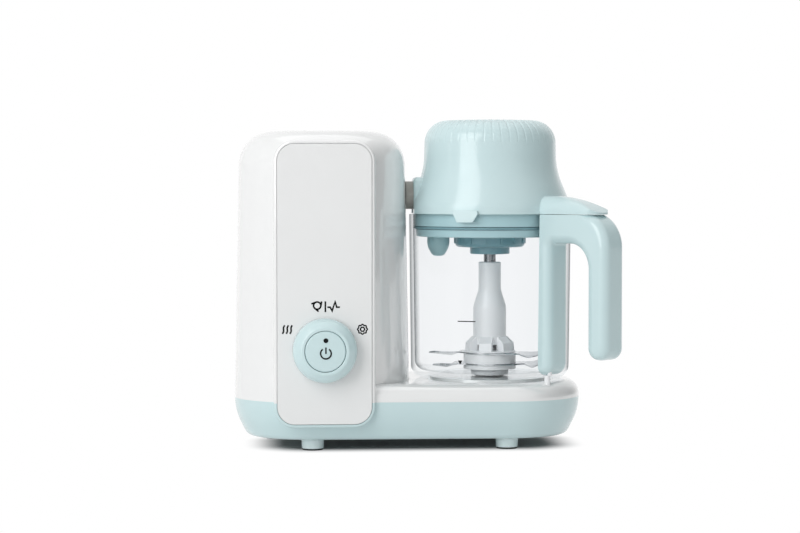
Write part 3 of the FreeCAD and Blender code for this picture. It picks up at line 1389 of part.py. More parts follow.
document.recompute()
for thing in document.Objects:
    if "Invalid" in thing.State or "Error" in thing.State:
        raise ValueError(f"{thing.Name} did not rebuild: {thing.State}")
os.makedirs("parts", exist_ok=True)
for thing in NODES:
    if thing.Shape.isNull() or not thing.Shape.isValid():
        raise ValueError(f"{thing.Label} has no valid shape")
    thing.Shape.exportStep(f"parts/{thing.Label}.step")
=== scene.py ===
import math

import bmesh
import bpy
from mathutils import Matrix, Vector


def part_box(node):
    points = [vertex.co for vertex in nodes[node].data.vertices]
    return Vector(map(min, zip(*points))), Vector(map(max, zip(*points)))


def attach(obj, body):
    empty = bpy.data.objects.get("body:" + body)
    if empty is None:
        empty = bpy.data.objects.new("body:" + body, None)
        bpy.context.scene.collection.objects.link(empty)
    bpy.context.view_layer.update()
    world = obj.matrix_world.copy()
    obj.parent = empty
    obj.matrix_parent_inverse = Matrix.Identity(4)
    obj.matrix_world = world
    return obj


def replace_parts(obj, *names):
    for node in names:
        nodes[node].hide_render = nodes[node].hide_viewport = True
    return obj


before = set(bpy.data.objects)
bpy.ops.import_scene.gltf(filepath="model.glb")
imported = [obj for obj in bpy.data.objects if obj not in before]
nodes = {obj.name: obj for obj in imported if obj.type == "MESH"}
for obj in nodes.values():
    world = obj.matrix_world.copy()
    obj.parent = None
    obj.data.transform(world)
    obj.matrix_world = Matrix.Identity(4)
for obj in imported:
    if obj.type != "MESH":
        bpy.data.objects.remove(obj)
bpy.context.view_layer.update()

# Base shell
# The lower half of the housing is one injection moulding in pale blue ABS. It is open at the top,
# where the tower and the deck stand on its edge, and screws from below hold the chassis in it.
MM = 0.001  # pieces are measured in millimetres, and the frame in metres
FLOW_PATCH = 50
HAZE_PATCH = 9
PEEL_WIDTH = 3
PEEL_DEPTH = 0.4
PEEL_STRENGTH = 0.04
NOISE_LOW, NOISE_HIGH = 0.3, 0.7


def linear(hex_colour):
    """A colour written in sRGB hex, as the linear values that a shader takes."""
    parts = [int(hex_colour[at:at + 2], 16) / 255 for at in (0, 2, 4)]
    return [part / 12.92 if part < 0.04045 else ((part + 0.055) / 1.055) ** 2.4 for part in parts] + [1]


def add_node(tree, kind, inputs=None, **settings):
    """Add one shader node with its settings, and set or link its inputs."""
    made = tree.nodes.new(kind)
    for name, value in settings.items():
        setattr(made, name, value)
    for socket, value in (inputs or {}).items():
        if isinstance(value, bpy.types.NodeSocket):
            tree.links.new(value, made.inputs[socket])
        else:
            made.inputs[socket].default_value = value
    return made


def per_metre(size):
    """The texture scale at which a pattern repeats about every so many millimetres."""
    return 1 / (size * MM)


def new_material(name, constants):
    """A material with its shader's plain values, its node tree and the place in the piece's frame."""
    material = bpy.data.materials.new(name)
    material.use_nodes = True
    tree = material.node_tree
    shader = tree.nodes["Principled BSDF"]
    for socket, value in constants.items():
        shader.inputs[socket].default_value = value
    place = add_node(tree, "ShaderNodeTexCoord").outputs["Object"]
    return material, tree, shader, place


def moulded_plastic(name, pale, deep, gloss, dull, constants):
    """Plastic, rubber or ink that set from a melt or a paste. Its flow leaves slow patches of tint, and
    the gloss ripples like orange peel: the real peel is 1 mm wide, drawn at 3 mm so that it shows."""
    material, tree, shader, place = new_material(name, constants)
    flow = add_node(tree, "ShaderNodeTexNoise", {
        "Vector": place, "Scale": per_metre(FLOW_PATCH), "Detail": 3})
    tint = add_node(tree, "ShaderNodeMixRGB", {
        "Fac": flow.outputs["Fac"], "Color1": linear(deep), "Color2": linear(pale)})
    tree.links.new(tint.outputs["Color"], shader.inputs["Base Color"])
    haze = add_node(tree, "ShaderNodeTexNoise", {
        "Vector": place, "Scale": per_metre(HAZE_PATCH), "Detail": 4})
    sheen = add_node(tree, "ShaderNodeMapRange", {
        "Value": haze.outputs["Fac"], "From Min": NOISE_LOW, "From Max": NOISE_HIGH,
        "To Min": gloss, "To Max": dull})
    tree.links.new(sheen.outputs["Result"], shader.inputs["Roughness"])
    peel = add_node(tree, "ShaderNodeTexNoise", {
        "Vector": place, "Scale": per_metre(PEEL_WIDTH), "Detail": 2})
    ripple = add_node(tree, "ShaderNodeBump", {
        "Height": peel.outputs["Fac"], "Strength": PEEL_STRENGTH, "Distance": PEEL_DEPTH * MM})
    tree.links.new(ripple.outputs["Normal"], shader.inputs["Normal"])
    return material


def dress(material, *names):
    """Give CAD nodes their finish."""
    for name in names:
        mesh = nodes[name].data
        mesh.materials.clear()
        mesh.materials.append(material)


# ABS from a polished mould: an even pale blue with a soft gloss and slightly blurred lights.
blue_abs = moulded_plastic("pale_blue_abs", "CEE4E6", "C7DFE2", 0.18, 0.26, {
    "IOR": 1.53, "Coat Weight": 0.35, "Coat IOR": 1.5, "Coat Roughness": 0.05})
dress(blue_abs, "base_shell")

# Feet and pads
# Four moulded ABS posts stand under the base shell, and each has a moulded rubber pad below it that
# keeps the machine from walking on the worktop.

# ABS painted lighter than the base, nearly white: painted light for the bounce off the white floor.
bounce_lit_foot_abs = moulded_plastic("bounce_lit_blue_abs", "ECFAFB", "E6F5F7", 0.18, 0.26, {"IOR": 1.53})
# Moulded rubber: nearly black and dull, with only a broad, weak sheen.
black_rubber = moulded_plastic("moulded_black_rubber", "232526", "1A1C1D", 0.6, 0.75, {"IOR": 1.52})
dress(bounce_lit_foot_abs, "feet")
dress(black_rubber, "foot_pads")

# Chassis
# A plate on four legs, moulded in glass-filled nylon, carries the motor inside the base shell.
# Steel screws come up through the shell's floor into its legs.
LINE_SPACING = 0.8
# Nylon filled with glass: charcoal with a fine satin haze.
dark_nylon = moulded_plastic("glass_filled_nylon", "2B2C2E", "222325", 0.45, 0.6, {"IOR": 1.53})


def drawn_metal(name, pale, deep, smooth, rough, along):
    """Metal that keeps the lines of its rolling, turning or casting. They are finer than 0.1 mm, and are
    drawn 0.8 mm apart so that they show."""
    material, tree, shader, place = new_material(name, {"Metallic": 1})
    stretch = add_node(tree, "ShaderNodeMapping", {"Vector": place, "Scale": along})
    lines = add_node(tree, "ShaderNodeTexNoise", {
        "Vector": stretch.outputs["Vector"], "Scale": per_metre(LINE_SPACING), "Detail": 3})
    tint = add_node(tree, "ShaderNodeMixRGB", {
        "Fac": lines.outputs["Fac"], "Color1": linear(deep), "Color2": linear(pale)})
    tree.links.new(tint.outputs["Color"], shader.inputs["Base Color"])
    grain = add_node(tree, "ShaderNodeMapRange", {
        "Value": lines.outputs["Fac"], "From Min": NOISE_LOW, "From Max": NOISE_HIGH,
        "To Min": smooth, "To Max": rough})
    tree.links.new(grain.outputs["Result"], shader.inputs["Roughness"])
    return material


# Rolled steel with bright zinc on it: cool silver with soft streaks along the rolling.
plated_steel = drawn_metal("zinc_plated_steel", "C9CCCF", "A9ADB1", 0.22, 0.36, (1, 1, 0.1))
dress(dark_nylon, "chassis_plate")
dress(plated_steel, "chassis_screws")

# Motor
# A bought-in motor stands on the chassis plate: a drawn steel can with magnets inside it, a rotor on
# its shaft and a moulded nylon end cap. Screws come up through the plate into the cap.
dress(plated_steel, "motor_can", "motor_magnets", "motor_rotor", "motor_screws")
dress(dark_nylon, "motor_end_cap")

# Belt drive and spindle
# A rubber belt takes the drive from the small nylon pulley to the large one under the jar. The turned
# steel spindle runs in two bearings, in a housing screwed to the deck, and ends in the driver.
dress(dark_nylon, "motor_pulley", "drive_pulley", "bearing_housing", "driver_coupling")
dress(black_rubber, "drive_belt")
dress(plated_steel, "drive_spindle", "spindle_bearings", "bearing_screws")
# Moulded silicone: a warm light grey with a soft sheen like skin.
grey_silicone = moulded_plastic("grey_silicone", "B4B1AB", "A8A59F", 0.4, 0.5, {"IOR": 1.41})
dress(grey_silicone, "spindle_seal")

# Boiler and steam line
# A die-cast aluminium pot on the chassis boils the water. The heater ring lies round it, the thermostat
# sits on its cover, and silicone tubes lead in from the tank and out to the nozzle in the tower's side.

# Aluminium as it leaves the die: a pale grey metal, blurred and slightly mottled.
cast_aluminium = drawn_metal("die_cast_aluminium", "C4C6C8", "AEB1B4", 0.4, 0.55, (1, 1, 1))
dress(cast_aluminium, "boiler_body", "boiler_cover")
dress(plated_steel, "heater_element", "thermostat")
dress(grey_silicone, "feed_tube", "steam_tube", "nozzle_seal")
dress(dark_nylon, "steam_nozzle")

# Tower and deck
# The white upper housing is two glossy ABS mouldings: the tower with its raised panel frame, and the
# deck that the jar stands on. Both stand on the base shell along the seam.

# ABS from a mirror-polished mould: a cool white that shows clear reflections on its rounded edges.
white_abs = moulded_plastic("white_abs", "EEEFEF", "E9EAEA", 0.16, 0.24, {
    "IOR": 1.53, "Coat Weight": 1, "Coat IOR": 1.9, "Coat Roughness": 0.06})
dress(white_abs, "tower_shell", "deck_cover")

# Cord gland
# A moulded rubber sleeve is pressed into the hole at the back of the base shell, where the supply
# cord would leave.
dress(black_rubber, "cord_gland")

# Control board
# A laminate board carries the selector switch and the power switch. Four small steel screws hold it
# to pegs on the inside of the tower's front wall.

# Laminate under green lacquer: a deep green with a slight gloss.
board_laminate = moulded_plastic("green_board_laminate", "1F6B45", "195A3A", 0.35, 0.5, {"IOR": 1.5})
dress(board_laminate, "control_board")
dress(dark_nylon, "selector_switch", "power_switch")
dress(plated_steel, "board_screws")

# Control panel
# A moulded white ABS plate is let into the raised frame of the tower and the base shell, nearly flush
# with it and with an even gap all round.

# ABS from a finely etched mould: white and satin, so the lamps show only as a broad glow.
panel_abs = moulded_plastic("satin_white_abs", "EDEEEE", "E9EAEA", 0.3, 0.38, {"IOR": 1.53})
dress(panel_abs, "front_panel")

# Marks on the panel
# The pictograms round the knob are screen printed in black: steam at the left, a turning blade and a
# pulse above, parted by a line, and a toothed wheel for the full programme at the right.
INK_THICKNESS = 0.04
PRINT_LIFT = 0.01
SHARPEST_MITRE = 0.4
MARK_WIDTH = 1.35
STEAM_COLUMNS = (-32.8, -29.8, -26.8)
STEAM_MIDDLE = 16.6
WAVE_STEPS, WAVE_LEAN, WAVE_SWING, WAVE_RISE = 10, 0.095, 0.42, 0.34
BLADE_MARK_MIDDLE = (-6, 35.6)
BLADE_MARK_RING, BLADE_MARK_ARM, BLADE_MARK_TURNS = 2.9, 3.9, (-10, 110, 230)
PARTING_LINE = [(0.5, 30.4), (0.5, 39)]
PULSE = [(2.1, 34.3), (4.3, 34.3), (5.9, 31.4), (8.3, 38.6), (9.5, 34.3), (12.1, 34.3)]
WHEEL_MIDDLE = (30.1, 16.6)
WHEEL_WIDTH, WHEEL_RADIUS, WHEEL_TEETH, TOOTH_SWELL, WHEEL_HOLE = 1.1, 3.6, 8, 0.35, 1.8
# Cured screen ink: a near black that stays dark under the lamps, with hardly any gloss.
black_ink = moulded_plastic("black_print_ink", "121415", "0C0D0E", 0.4, 0.5, {
    "IOR": 1.5, "Specular IOR Level": 0.12})


def stroke(flat, points, width, closed=False):
    """Add a printed line of even width through flat points, mitred at its corners."""
    points = [Vector(point) for point in points]
    last = len(points) - 1
    sides = []
    for at, point in enumerate(points):
        before = points[at - 1] if at or closed else point
        after = points[(at + 1) % len(points)] if at < last or closed else point
        arrives = (point - before if before != point else after - point).normalized()
        leaves = (after - point if after != point else point - before).normalized()
        across = (arrives + leaves).orthogonal().normalized()
        half = across * width / 2 / max(SHARPEST_MITRE, abs(across.dot(leaves.orthogonal())))
        sides.append([flat.verts.new((*(point + half * side), 0)) for side in (1, -1)])
    for at in range(len(sides) if closed else last):
        (left, right), (next_left, next_right) = sides[at], sides[(at + 1) % len(sides)]
        flat.faces.new((left, right, next_right, next_left))


def ring_points(radius, first=0, last=360, steps=40, waves=0, swell=0):
    """Points of a ring or an arc, in degrees from the right, whose radius may swell in waves."""
    turns = [math.radians(first + (last - first) * step / steps) for step in range(steps + 1)]
    reaches = [radius + swell * math.cos(waves * turn) for turn in turns]
    return [(reach * math.cos(turn), reach * math.sin(turn)) for reach, turn in zip(reaches, turns)]


def moved(points, right, up):
    """The same points, moved over the flat."""
    return [(x + right, y + up) for x, y in points]


def printed(name, flat, place, body):
    """Give a flat drawing in millimetres its ink's thickness, and lay each point where place puts it."""
    made = bmesh.ops.extrude_face_region(flat, geom=flat.faces[:])
    raised = [item for item in made["geom"] if isinstance(item, bmesh.types.BMVert)]
    bmesh.ops.translate(flat, verts=raised, vec=(0, 0, INK_THICKNESS))
    for vert in flat.verts:
        vert.co = Vector(place(*vert.co)) * MM
    bmesh.ops.recalc_face_normals(flat, faces=flat.faces[:])
    mesh = bpy.data.meshes.new(name)
    flat.to_mesh(mesh)
    flat.free()
    mesh.materials.append(black_ink)
    mark = bpy.data.objects.new(name, mesh)
    bpy.context.scene.collection.objects.link(mark)
    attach(mark, body)


knob_low, knob_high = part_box("selector_knob")
knob_x = (knob_low.x + knob_high.x) / 2 / MM
knob_z = (knob_low.z + knob_high.z) / 2 / MM
panel_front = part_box("front_panel")[0].y / MM
panel_marks = bmesh.new()
wave = [(WAVE_LEAN * step - WAVE_SWING * math.sin(math.pi * step / WAVE_STEPS), WAVE_RISE * step)
        for step in range(-WAVE_STEPS, WAVE_STEPS + 1)]
for column in STEAM_COLUMNS:
    stroke(panel_marks, moved(wave, column, STEAM_MIDDLE), MARK_WIDTH)
blade_ring = ring_points(BLADE_MARK_RING)[:-1]
stroke(panel_marks, moved(blade_ring, *BLADE_MARK_MIDDLE), MARK_WIDTH, closed=True)
for turn in BLADE_MARK_TURNS:
    start = Vector((math.cos(math.radians(turn)), math.sin(math.radians(turn)))) * BLADE_MARK_RING
    end = start + Vector((-start.y, start.x)).normalized() * BLADE_MARK_ARM
    stroke(panel_marks, moved([start, end], *BLADE_MARK_MIDDLE), MARK_WIDTH)
stroke(panel_marks, PARTING_LINE, MARK_WIDTH)
stroke(panel_marks, PULSE, MARK_WIDTH)
wheel_rim = ring_points(WHEEL_RADIUS, steps=64, waves=WHEEL_TEETH, swell=TOOTH_SWELL)[:-1]
stroke(panel_marks, moved(wheel_rim, *WHEEL_MIDDLE), WHEEL_WIDTH, closed=True)
wheel_hole = ring_points(WHEEL_HOLE, steps=6)[:-1]
stroke(panel_marks, moved(wheel_hole, *WHEEL_MIDDLE), WHEEL_WIDTH, closed=True)
printed("panel_marks", panel_marks,
        lambda right, up, out: (knob_x + right, panel_front - PRINT_LIFT - out, knob_z + up), "base")

# Selector knob and power button
# The blue ABS knob turns on the switch behind the panel. The button sits in its face, turns with it and
# is pressed to start, so the pointer dot and the power sign are printed on the button.
POINTER_RADIUS, POINTER_HEIGHT = 1.9, 8.8
SIGN_RIGHT, SIGN_UP = 0.3, -1.4
SIGN_WIDTH, SIGN_RADIUS, SIGN_GAP = 1.2, 4.2, 36
SIGN_BAR_LOW, SIGN_BAR_HIGH = -1.6, 3.4
dress(blue_abs, "selector_knob", "power_button")
button_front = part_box("power_button")[0].y / MM
button_marks = bmesh.new()
bmesh.ops.create_circle(button_marks, cap_ends=True, segments=40, radius=POINTER_RADIUS,
                        matrix=Matrix.Translation((SIGN_RIGHT, POINTER_HEIGHT, 0)))
open_ring = ring_points(SIGN_RADIUS, 90 + SIGN_GAP, 90 + 360 - SIGN_GAP)
stroke(button_marks, moved(open_ring, SIGN_RIGHT, SIGN_UP), SIGN_WIDTH)
stroke(button_marks, [(SIGN_RIGHT, SIGN_BAR_LOW), (SIGN_RIGHT, SIGN_BAR_HIGH)], SIGN_WIDTH)
printed("button_marks", button_marks,
        lambda right, up, out: (knob_x + right, button_front - PRINT_LIFT - out, knob_z + up), "button")

# Water tank
# A moulded polypropylene tank hangs by its flange from the ledge in the tower's top. The white ABS lid
# over it swings on a steel pin at the back, and a silicone seal lies between them.

# Frosted polypropylene: milky and half clear, so that water behind it would show as a shade.
frosted_pp = moulded_plastic("frosted_polypropylene", "E8EEF0", "DEE6E9", 0.42, 0.5, {
    "IOR": 1.49, "Transmission Weight": 0.5})
dress(frosted_pp, "water_tank")
dress(white_abs, "tank_lid")
dress(plated_steel, "tank_lid_pin")
dress(grey_silicone, "tank_lid_seal")

# Jar
# The jar is one clear copolyester moulding, thick at the foot, with a boss in its floor for the blade's
# bush. It stands in the round seat of the deck and lifts off by hand.
WIPE_SIZE, WIPE_LOW, WIPE_HIGH = 12, 0.35, 0.75
CLEAREST, HAZIEST = 0.0, 0.03
SLANT_STARTS, SLANT_FULL = 0.62, 0.93
LYING_FACE, UPRIGHT_FACE = 0.97, 0.8
JAR_FLOOR = 61.3
FLOOR_FROM, FLOOR_FULL = JAR_FLOOR + 1.2, JAR_FLOOR - 0.8
# Clear copolyester: colourless, with a bright skin and faint wipe marks. Its even wall hardly bends what
# is seen through it. Painted shade greys the wall to a line where the eye looks along it, and the floor
# a little.
clear_copolyester, tree, shader, place = new_material("clear_copolyester", {
    "IOR": 1.001, "Transmission Weight": 1,
    "Coat Weight": 0.25, "Coat IOR": 1.45, "Coat Roughness": 0.03})
wipes = add_node(tree, "ShaderNodeTexNoise", {
    "Vector": place, "Scale": per_metre(WIPE_SIZE), "Detail": 5})
clarity = add_node(tree, "ShaderNodeMapRange", {
    "Value": wipes.outputs["Fac"], "From Min": WIPE_LOW, "From Max": WIPE_HIGH,
    "To Min": CLEAREST, "To Max": HAZIEST})
tree.links.new(clarity.outputs["Result"], shader.inputs["Roughness"])
slant = add_node(tree, "ShaderNodeLayerWeight", {"Blend": 0.5})
edge = add_node(tree, "ShaderNodeMapRange", {
    "Value": slant.outputs["Facing"], "From Min": SLANT_STARTS, "From Max": SLANT_FULL})
surface = add_node(tree, "ShaderNodeNewGeometry")
lie = add_node(tree, "ShaderNodeSeparateXYZ", {"Vector": surface.outputs["Normal"]})
tilt = add_node(tree, "ShaderNodeMath", {0: lie.outputs["Z"]}, operation="ABSOLUTE")
upright = add_node(tree, "ShaderNodeMapRange", {
    "Value": tilt.outputs["Value"], "From Min": LYING_FACE, "From Max": UPRIGHT_FACE})
painted_edge_shade_mask = add_node(tree, "ShaderNodeMath", {
    0: edge.outputs["Result"], 1: upright.outputs["Result"]}, operation="MULTIPLY")
# Painted shade: a grey line where the wall is seen along its length.
tint_and_painted_edge_shade = add_node(tree, "ShaderNodeMixRGB", {
    "Fac": painted_edge_shade_mask.outputs["Value"], "Color1": linear("F9FAFB"), "Color2": linear("4C575C")})
# Painted shade: the thick floor is painted a little grey, for the darkening its curved glass would give.
height = add_node(tree, "ShaderNodeSeparateXYZ", {"Vector": place})
thick = add_node(tree, "ShaderNodeMapRange", {
    "Value": height.outputs["Z"], "From Min": FLOOR_FROM * MM, "From Max": FLOOR_FULL * MM})
painted_floor_shade = add_node(tree, "ShaderNodeMixRGB", {
    "Fac": thick.outputs["Result"], "Color1": tint_and_painted_edge_shade.outputs["Color"], "Color2": linear("F1F3F4")})
tree.links.new(painted_floor_shade.outputs["Color"], shader.inputs["Base Color"])
path = add_node(tree, "ShaderNodeLightPath")
scattered = add_node(tree, "ShaderNodeMath", {
    0: path.outputs["Diffuse Depth"], 1: 1}, operation="MINIMUM")
lets_light_in = add_node(tree, "ShaderNodeMath", {
    0: path.outputs["Is Shadow Ray"], 1: scattered.outputs["Value"]}, operation="MAXIMUM")
unbent = add_node(tree, "ShaderNodeBsdfTransparent", {"Color": linear("FCFDFD")})
wall = add_node(tree, "ShaderNodeMixShader", {
    0: lets_light_in.outputs["Value"], 1: shader.outputs["BSDF"], 2: unbent.outputs["BSDF"]})
tree.links.new(wall.outputs["Shader"], tree.nodes["Material Output"].inputs["Surface"])
dress(clear_copolyester, "jar")

# Marks on the jar
# A short fill line and a small arrow are printed in black on the outside of the jar's wall, left of
# its front, and follow its curve and its draft.
JAR_FOOT_RADIUS, JAR_RIM_RADIUS = 65.5, 67.2
FILL_LINE_WIDTH, FILL_LINE_HALF, FILL_LINE_STEPS = 0.8, 7.5, 10
FILL_LINE_TURN, FILL_LINE_HEIGHT = 22.5, 104.9
ARROW_CORNERS = ((-2, 1.6, 0), (0, -1.8, 0), (2, 1.6, 0))
ARROW_TURN, ARROW_HEIGHT = 27.3, 71.6
jar_low, jar_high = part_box("jar")
jar_x = (jar_low.x + jar_high.x) / 2 / MM
jar_y = (jar_low.y + jar_high.y) / 2 / MM


def round_the_jar(turn, height):
    """A place for marks on the jar's outside, so many degrees left of its front and so high."""
    def place(right, up, out):
        share = (height + up - jar_low.z / MM) / (jar_high.z - jar_low.z) * MM
        reach = JAR_FOOT_RADIUS + (JAR_RIM_RADIUS - JAR_FOOT_RADIUS) * share + PRINT_LIFT + out
        angle = right / reach - math.radians(turn)
        return jar_x + reach * math.sin(angle), jar_y - reach * math.cos(angle), height + up
    return place


fill_line = bmesh.new()
fill_points = [(FILL_LINE_HALF * step / FILL_LINE_STEPS, 0)
               for step in range(-FILL_LINE_STEPS, FILL_LINE_STEPS + 1)]
stroke(fill_line, fill_points, FILL_LINE_WIDTH)
printed("jar_fill_line", fill_line, round_the_jar(FILL_LINE_TURN, FILL_LINE_HEIGHT), "jar")
level_arrow = bmesh.new()
level_arrow.faces.new([level_arrow.verts.new(corner) for corner in ARROW_CORNERS])
printed("jar_level_arrow", level_arrow, round_the_jar(ARROW_TURN, ARROW_HEIGHT), "jar")

# Jar bush and coupling
# A nylon bush is pressed into the boss of the jar's floor and guides the shaft, with a silicone washer
# on top. The coupling below it drops over the driver in the deck.

# Natural nylon: white with a faint cool cast, and satin rather than glossy.
white_nylon = moulded_plastic("white_nylon", "F8F9FB", "F2F3F5", 0.32, 0.42, {"IOR": 1.53})
dress(white_nylon, "jar_bush", "driven_coupling")
dress(grey_silicone, "jar_shaft_seal")

# Handle and interlock
# The blue ABS handle is one moulding, fixed along a strip on the jar's wall. The lid presses a nylon rod
# in that strip, the rod presses the plunger in the deck, and the plunger presses the switch below it.
dress(blue_abs, "handle")
dress(white_nylon, "interlock_rod", "interlock_plunger")
dress(dark_nylon, "interlock_switch")

# Blade set
# Two stamped stainless blades sit round the hub of a moulded white nylon column, which turns with the
# ground steel shaft. The press sets each wing at a pitch, and its leading edge is bevelled.
BLADE_HUB = 23.5
BLADE_PITCH = math.radians(11)
BEND_LENGTH = 8
MERGE_DISTANCE = 0.001
LONGEST_EDGE, EDGE_CUTS = 6, 3
SHARP_CORNER = math.radians(25)
UPPER_LEAD, LOWER_LEAD = -5, 15
# Stamped stainless steel: bright silver with fine lines, so a wing flashes or darkens as it turns.
blade_steel = drawn_metal("stainless_steel", "D5D7D9", "BCC0C3", 0.12, 0.24, (1, 1, 0.08))
# Ground steel: a darker, smoother silver with a narrow bright streak along it.
shaft_steel = drawn_metal("ground_steel", "8F9295", "787B7E", 0.1, 0.2, (1, 1, 0.08))
dress(shaft_steel, "blade_shaft")
dress(white_nylon, "blade_sleeve")
axis_low, axis_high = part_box("blade_shaft")
axis_x, axis_y = (axis_low.x + axis_high.x) / 2, (axis_low.y + axis_high.y) / 2


def pitched_blade(name, node, lead):
    """The flat blank of a blade with its wings set at a pitch, as the press leaves them."""
    blank = bmesh.new()
    blank.from_mesh(nodes[node].data)
    bmesh.ops.remove_doubles(blank, verts=blank.verts[:], dist=MERGE_DISTANCE * MM)
    long_edges = [line for line in blank.edges if line.calc_length() > LONGEST_EDGE * MM]
    bmesh.ops.subdivide_edges(blank, edges=long_edges, cuts=EDGE_CUTS)
    bmesh.ops.triangulate(blank, faces=blank.faces[:])
    turn = math.radians(lead)
    for vert in blank.verts:
        arm = Vector((vert.co.x - axis_x, vert.co.y - axis_y))
        along = arm.x * math.cos(turn) + arm.y * math.sin(turn)
        across = arm.y * math.cos(turn) - arm.x * math.sin(turn)
        share = min(1, max(0, (abs(along) - BLADE_HUB * MM) / (BEND_LENGTH * MM)))
        vert.co.z += across * math.copysign(math.tan(BLADE_PITCH), along) * share
    bmesh.ops.recalc_face_normals(blank, faces=blank.faces[:])
    mesh = bpy.data.meshes.new(name)
    blank.to_mesh(mesh)
    blank.free()
    mesh.set_sharp_from_angle(angle=SHARP_CORNER)
    mesh.materials.append(blade_steel)
    blade = bpy.data.objects.new(name, mesh)
    bpy.context.scene.collection.objects.link(blade)
    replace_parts(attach(blade, "blade"), node)


pitched_blade("upper_blade_wings", "upper_blade", UPPER_LEAD)
pitched_blade("lower_blade_wings", "lower_blade", LOWER_LEAD)

# Lid
# The lid is a pale blue ABS bell with a fluted crown and a port for the steam. The liner inside it plugs
# the jar's mouth and holds the shaft's bush and the groove seal. The steam duct comes down through it.
PLUG_LOW, PLUG_BLEND = 171.5, 1
dress(blue_abs, "lid_shell")
# ABS painted a deeper, satin blue: painted shade for the lid's shadow on the duct, with only blurred
# lights.
shade_painted_duct_abs = moulded_plastic("shade_painted_blue_abs", "A9CDD2", "A1C6CC", 0.29, 0.36, {"IOR": 1.53})
dress(shade_painted_duct_abs, "steam_duct")
# Satin ABS in painted shade: the plug is a middle blue under the lid, the boss below it a deep grey
# blue.
shade_painted_liner_abs = moulded_plastic("shade_painted_liner_blue_abs", "B4D6DB", "ADD0D6", 0.29, 0.36, {"IOR": 1.53})
tree = shade_painted_liner_abs.node_tree
shader = tree.nodes["Principled BSDF"]
place = add_node(tree, "ShaderNodeTexCoord").outputs["Object"]
height = add_node(tree, "ShaderNodeSeparateXYZ", {"Vector": place})
on_plug = add_node(tree, "ShaderNodeMapRange", {
    "Value": height.outputs["Z"], "From Min": (PLUG_LOW - PLUG_BLEND) * MM,
    "From Max": (PLUG_LOW + PLUG_BLEND) * MM})
# Painted shade: the boss below the plug's edge is painted deeper, as it lies in the plug's shade.
painted_boss_shade = add_node(tree, "ShaderNodeMixRGB", {
    "Fac": on_plug.outputs["Result"], "Color1": linear("72A0AB"),
    "Color2": shader.inputs["Base Color"].links[0].from_socket})
tree.links.new(painted_boss_shade.outputs["Color"], shader.inputs["Base Color"])
dress(shade_painted_liner_abs, "lid_liner")
# Dyed silicone: a slate blue with the soft sheen of a seal.
blue_silicone = moulded_plastic("blue_silicone", "7FA4AC", "769BA4", 0.4, 0.5, {"IOR": 1.41})
dress(blue_silicone, "lid_seal")
dress(grey_silicone, "lid_steam_seal")
# Sintered bronze: a dull golden brown, grainy, with blurred lights.
bronze = drawn_metal("sintered_bronze", "B38A52", "96713F", 0.4, 0.55, (1, 1, 1))
dress(bronze, "shaft_bush")

# Floor
# The object stands on a wide sheet of white paper. It shows as plain white, except near the object,
# where the soft shadow under the base, deepened by painted shadow, is kept and fades out past its edge.
# The stage is in metres.
FLOOR_HALF = 6
SHADOW_CORNER = 0.05
SHADOW_SHIFT = 0.006
FADE_BEFORE, FADE_AFTER = 0.03, 0.006
floor_mesh = bmesh.new()
bmesh.ops.create_grid(floor_mesh, x_segments=1, y_segments=1, size=FLOOR_HALF)
floor_data = bpy.data.meshes.new("floor")
floor_mesh.to_mesh(floor_data)
floor_mesh.free()
floor = bpy.data.objects.new("floor", floor_data)
bpy.context.scene.collection.objects.link(floor)


def seen_directly(tree):
    """Full for a ray that shows the background: straight, by reflection or through the jar."""
    path = add_node(tree, "ShaderNodeLightPath")
    either = add_node(tree, "ShaderNodeMath", {
        0: path.outputs["Is Camera Ray"], 1: path.outputs["Is Glossy Ray"]}, operation="MAXIMUM")
    any_of = add_node(tree, "ShaderNodeMath", {
        0: either.outputs["Value"], 1: path.outputs["Is Transmission Ray"]}, operation="MAXIMUM")
    return any_of.outputs["Value"]


# Matt paper: pure white away from the object and no gloss. Near it the paper seen directly is painted
# grey:
# painted shadow that deepens its real shadow.
paper, tree, shader, place = new_material("white_paper_floor", {
    "Roughness": 0.9, "Specular IOR Level": 0.1})
direct = seen_directly(tree)
painted_shadow_tone = add_node(tree, "ShaderNodeMixRGB", {
    "Fac": direct, "Color1": linear("F2F2F2"), "Color2": linear("B0B0B0")})
tree.links.new(painted_shadow_tone.outputs["Color"], shader.inputs["Base Color"])
base_low, base_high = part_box("base_shell")
inset = Vector((SHADOW_CORNER + SHADOW_SHIFT, SHADOW_CORNER + SHADOW_SHIFT, 0))
half = (base_high - base_low) / 2 - inset
half.z = 0
centre = (base_high + base_low) / 2 + Vector((SHADOW_SHIFT, SHADOW_SHIFT, 0))
centre.z = 0
offset = add_node(tree, "ShaderNodeVectorMath", {0: place, 1: centre}, operation="SUBTRACT")
spread = add_node(tree, "ShaderNodeVectorMath", {0: offset.outputs["Vector"]}, operation="ABSOLUTE")
beyond = add_node(tree, "ShaderNodeVectorMath", {
    0: spread.outputs["Vector"], 1: half}, operation="SUBTRACT")
outside = add_node(tree, "ShaderNodeVectorMath", {
    0: beyond.outputs["Vector"], 1: (0, 0, 0)}, operation="MAXIMUM")
reach = add_node(tree, "ShaderNodeVectorMath", {0: outside.outputs["Vector"]}, operation="LENGTH")
fade = add_node(tree, "ShaderNodeMapRange", {
    "Value": reach.outputs["Value"], "From Min": SHADOW_CORNER - FADE_BEFORE,
    "From Max": SHADOW_CORNER + FADE_AFTER}, interpolation_type="SMOOTHSTEP")
away = add_node(tree, "ShaderNodeMath", {0: fade.outputs["Result"], 1: direct}, operation="MULTIPLY")
sweep = add_node(tree, "ShaderNodeEmission", {"Color": linear("FFFFFF"), "Strength": 1})
join = add_node(tree, "ShaderNodeMixShader", {
    0: away.outputs["Value"], 1: shader.outputs["BSDF"], 2: sweep.outputs["Emission"]})
tree.links.new(join.outputs["Shader"], tree.nodes["Material Output"].inputs["Surface"])
floor_data.materials.append(paper)

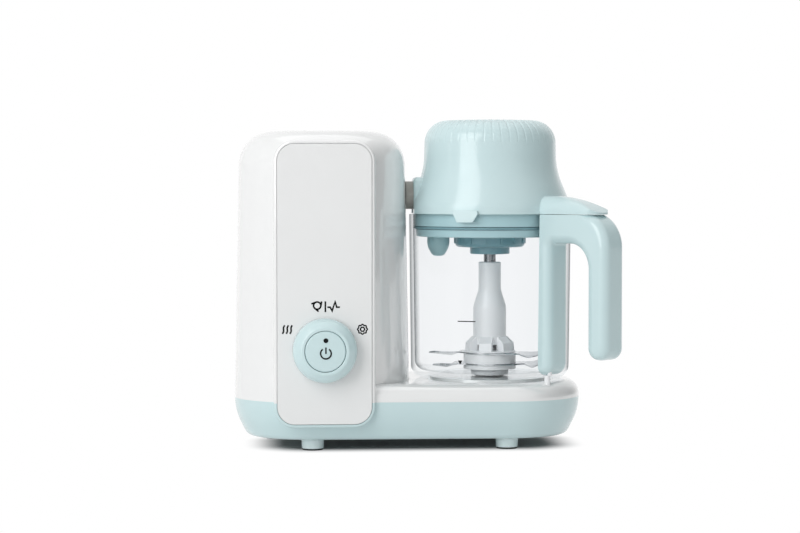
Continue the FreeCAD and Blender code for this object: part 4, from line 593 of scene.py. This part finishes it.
# Studio light
# The white room fills the shadows from all round, and what shines mirrors a darker wall at the right. A
# large soft lamp at the front left is the key light, and a weaker one hangs overhead.
ROOM_FILL = 0.5
DARK_WALL_STARTS, DARK_WALL_FULL, DARK_WALL = 0.5, 0.95, 0.15
world = bpy.data.worlds.new("studio")
bpy.context.scene.world = world
world.use_nodes = True
tree = world.node_tree
background = tree.nodes["Background"]
background.inputs["Color"].default_value = linear("FFFFFF")
level = add_node(tree, "ShaderNodeMapRange", {
    "Value": seen_directly(tree), "To Min": ROOM_FILL, "To Max": 1})
sight = add_node(tree, "ShaderNodeTexCoord").outputs["Generated"]
toward = add_node(tree, "ShaderNodeSeparateXYZ", {"Vector": sight})
dark_side = add_node(tree, "ShaderNodeMapRange", {
    "Value": toward.outputs["X"], "From Min": DARK_WALL_STARTS, "From Max": DARK_WALL_FULL,
    "To Min": 1, "To Max": DARK_WALL}, interpolation_type="SMOOTHSTEP")
mirrored = add_node(tree, "ShaderNodeLightPath").outputs["Is Glossy Ray"]
studio = add_node(tree, "ShaderNodeMix", {
    0: mirrored, 2: level.outputs["Result"], 3: dark_side.outputs["Result"]})
tree.links.new(studio.outputs[0], background.inputs["Strength"])


def soft_lamp(name, place, aim, size, power):
    """A rectangular studio lamp that points at a place, all in metres and watts."""
    lamp = bpy.data.lights.new(name, "AREA")
    lamp.shape = "RECTANGLE"
    lamp.size, lamp.size_y = size
    lamp.energy = power
    made = bpy.data.objects.new(name, lamp)
    bpy.context.scene.collection.objects.link(made)
    made.location = place
    made.rotation_euler = (Vector(aim) - Vector(place)).to_track_quat("-Z", "Y").to_euler()


soft_lamp("key_lamp", place=(-1.02, -1.13, 0.84), aim=(0, 0, 0.13), size=(0.95, 1.5), power=13.3)
soft_lamp("top_lamp", place=(0, 0.1, 1.5), aim=(0, 0, 0), size=(1.4, 1.2), power=3.2)

# Camera
# The camera stands where the photograph was taken: nearly two metres away with a long lens, a little
# left of the middle and looking slightly down.
LENS = 103.1
CAMERA_PLACE = (-0.1431, -1.8804, 0.2188)
LOOKS_DOWN, LOOKS_RIGHT = 2.16, 3.8
camera_data = bpy.data.cameras.new("photograph")
camera_data.lens = LENS
camera = bpy.data.objects.new("photograph", camera_data)
bpy.context.scene.collection.objects.link(camera)
camera.location = CAMERA_PLACE
camera.rotation_euler = (math.radians(90 - LOOKS_DOWN), 0, math.radians(-LOOKS_RIGHT))
bpy.context.scene.camera = camera
bpy.context.scene.view_settings.view_transform = "Standard"
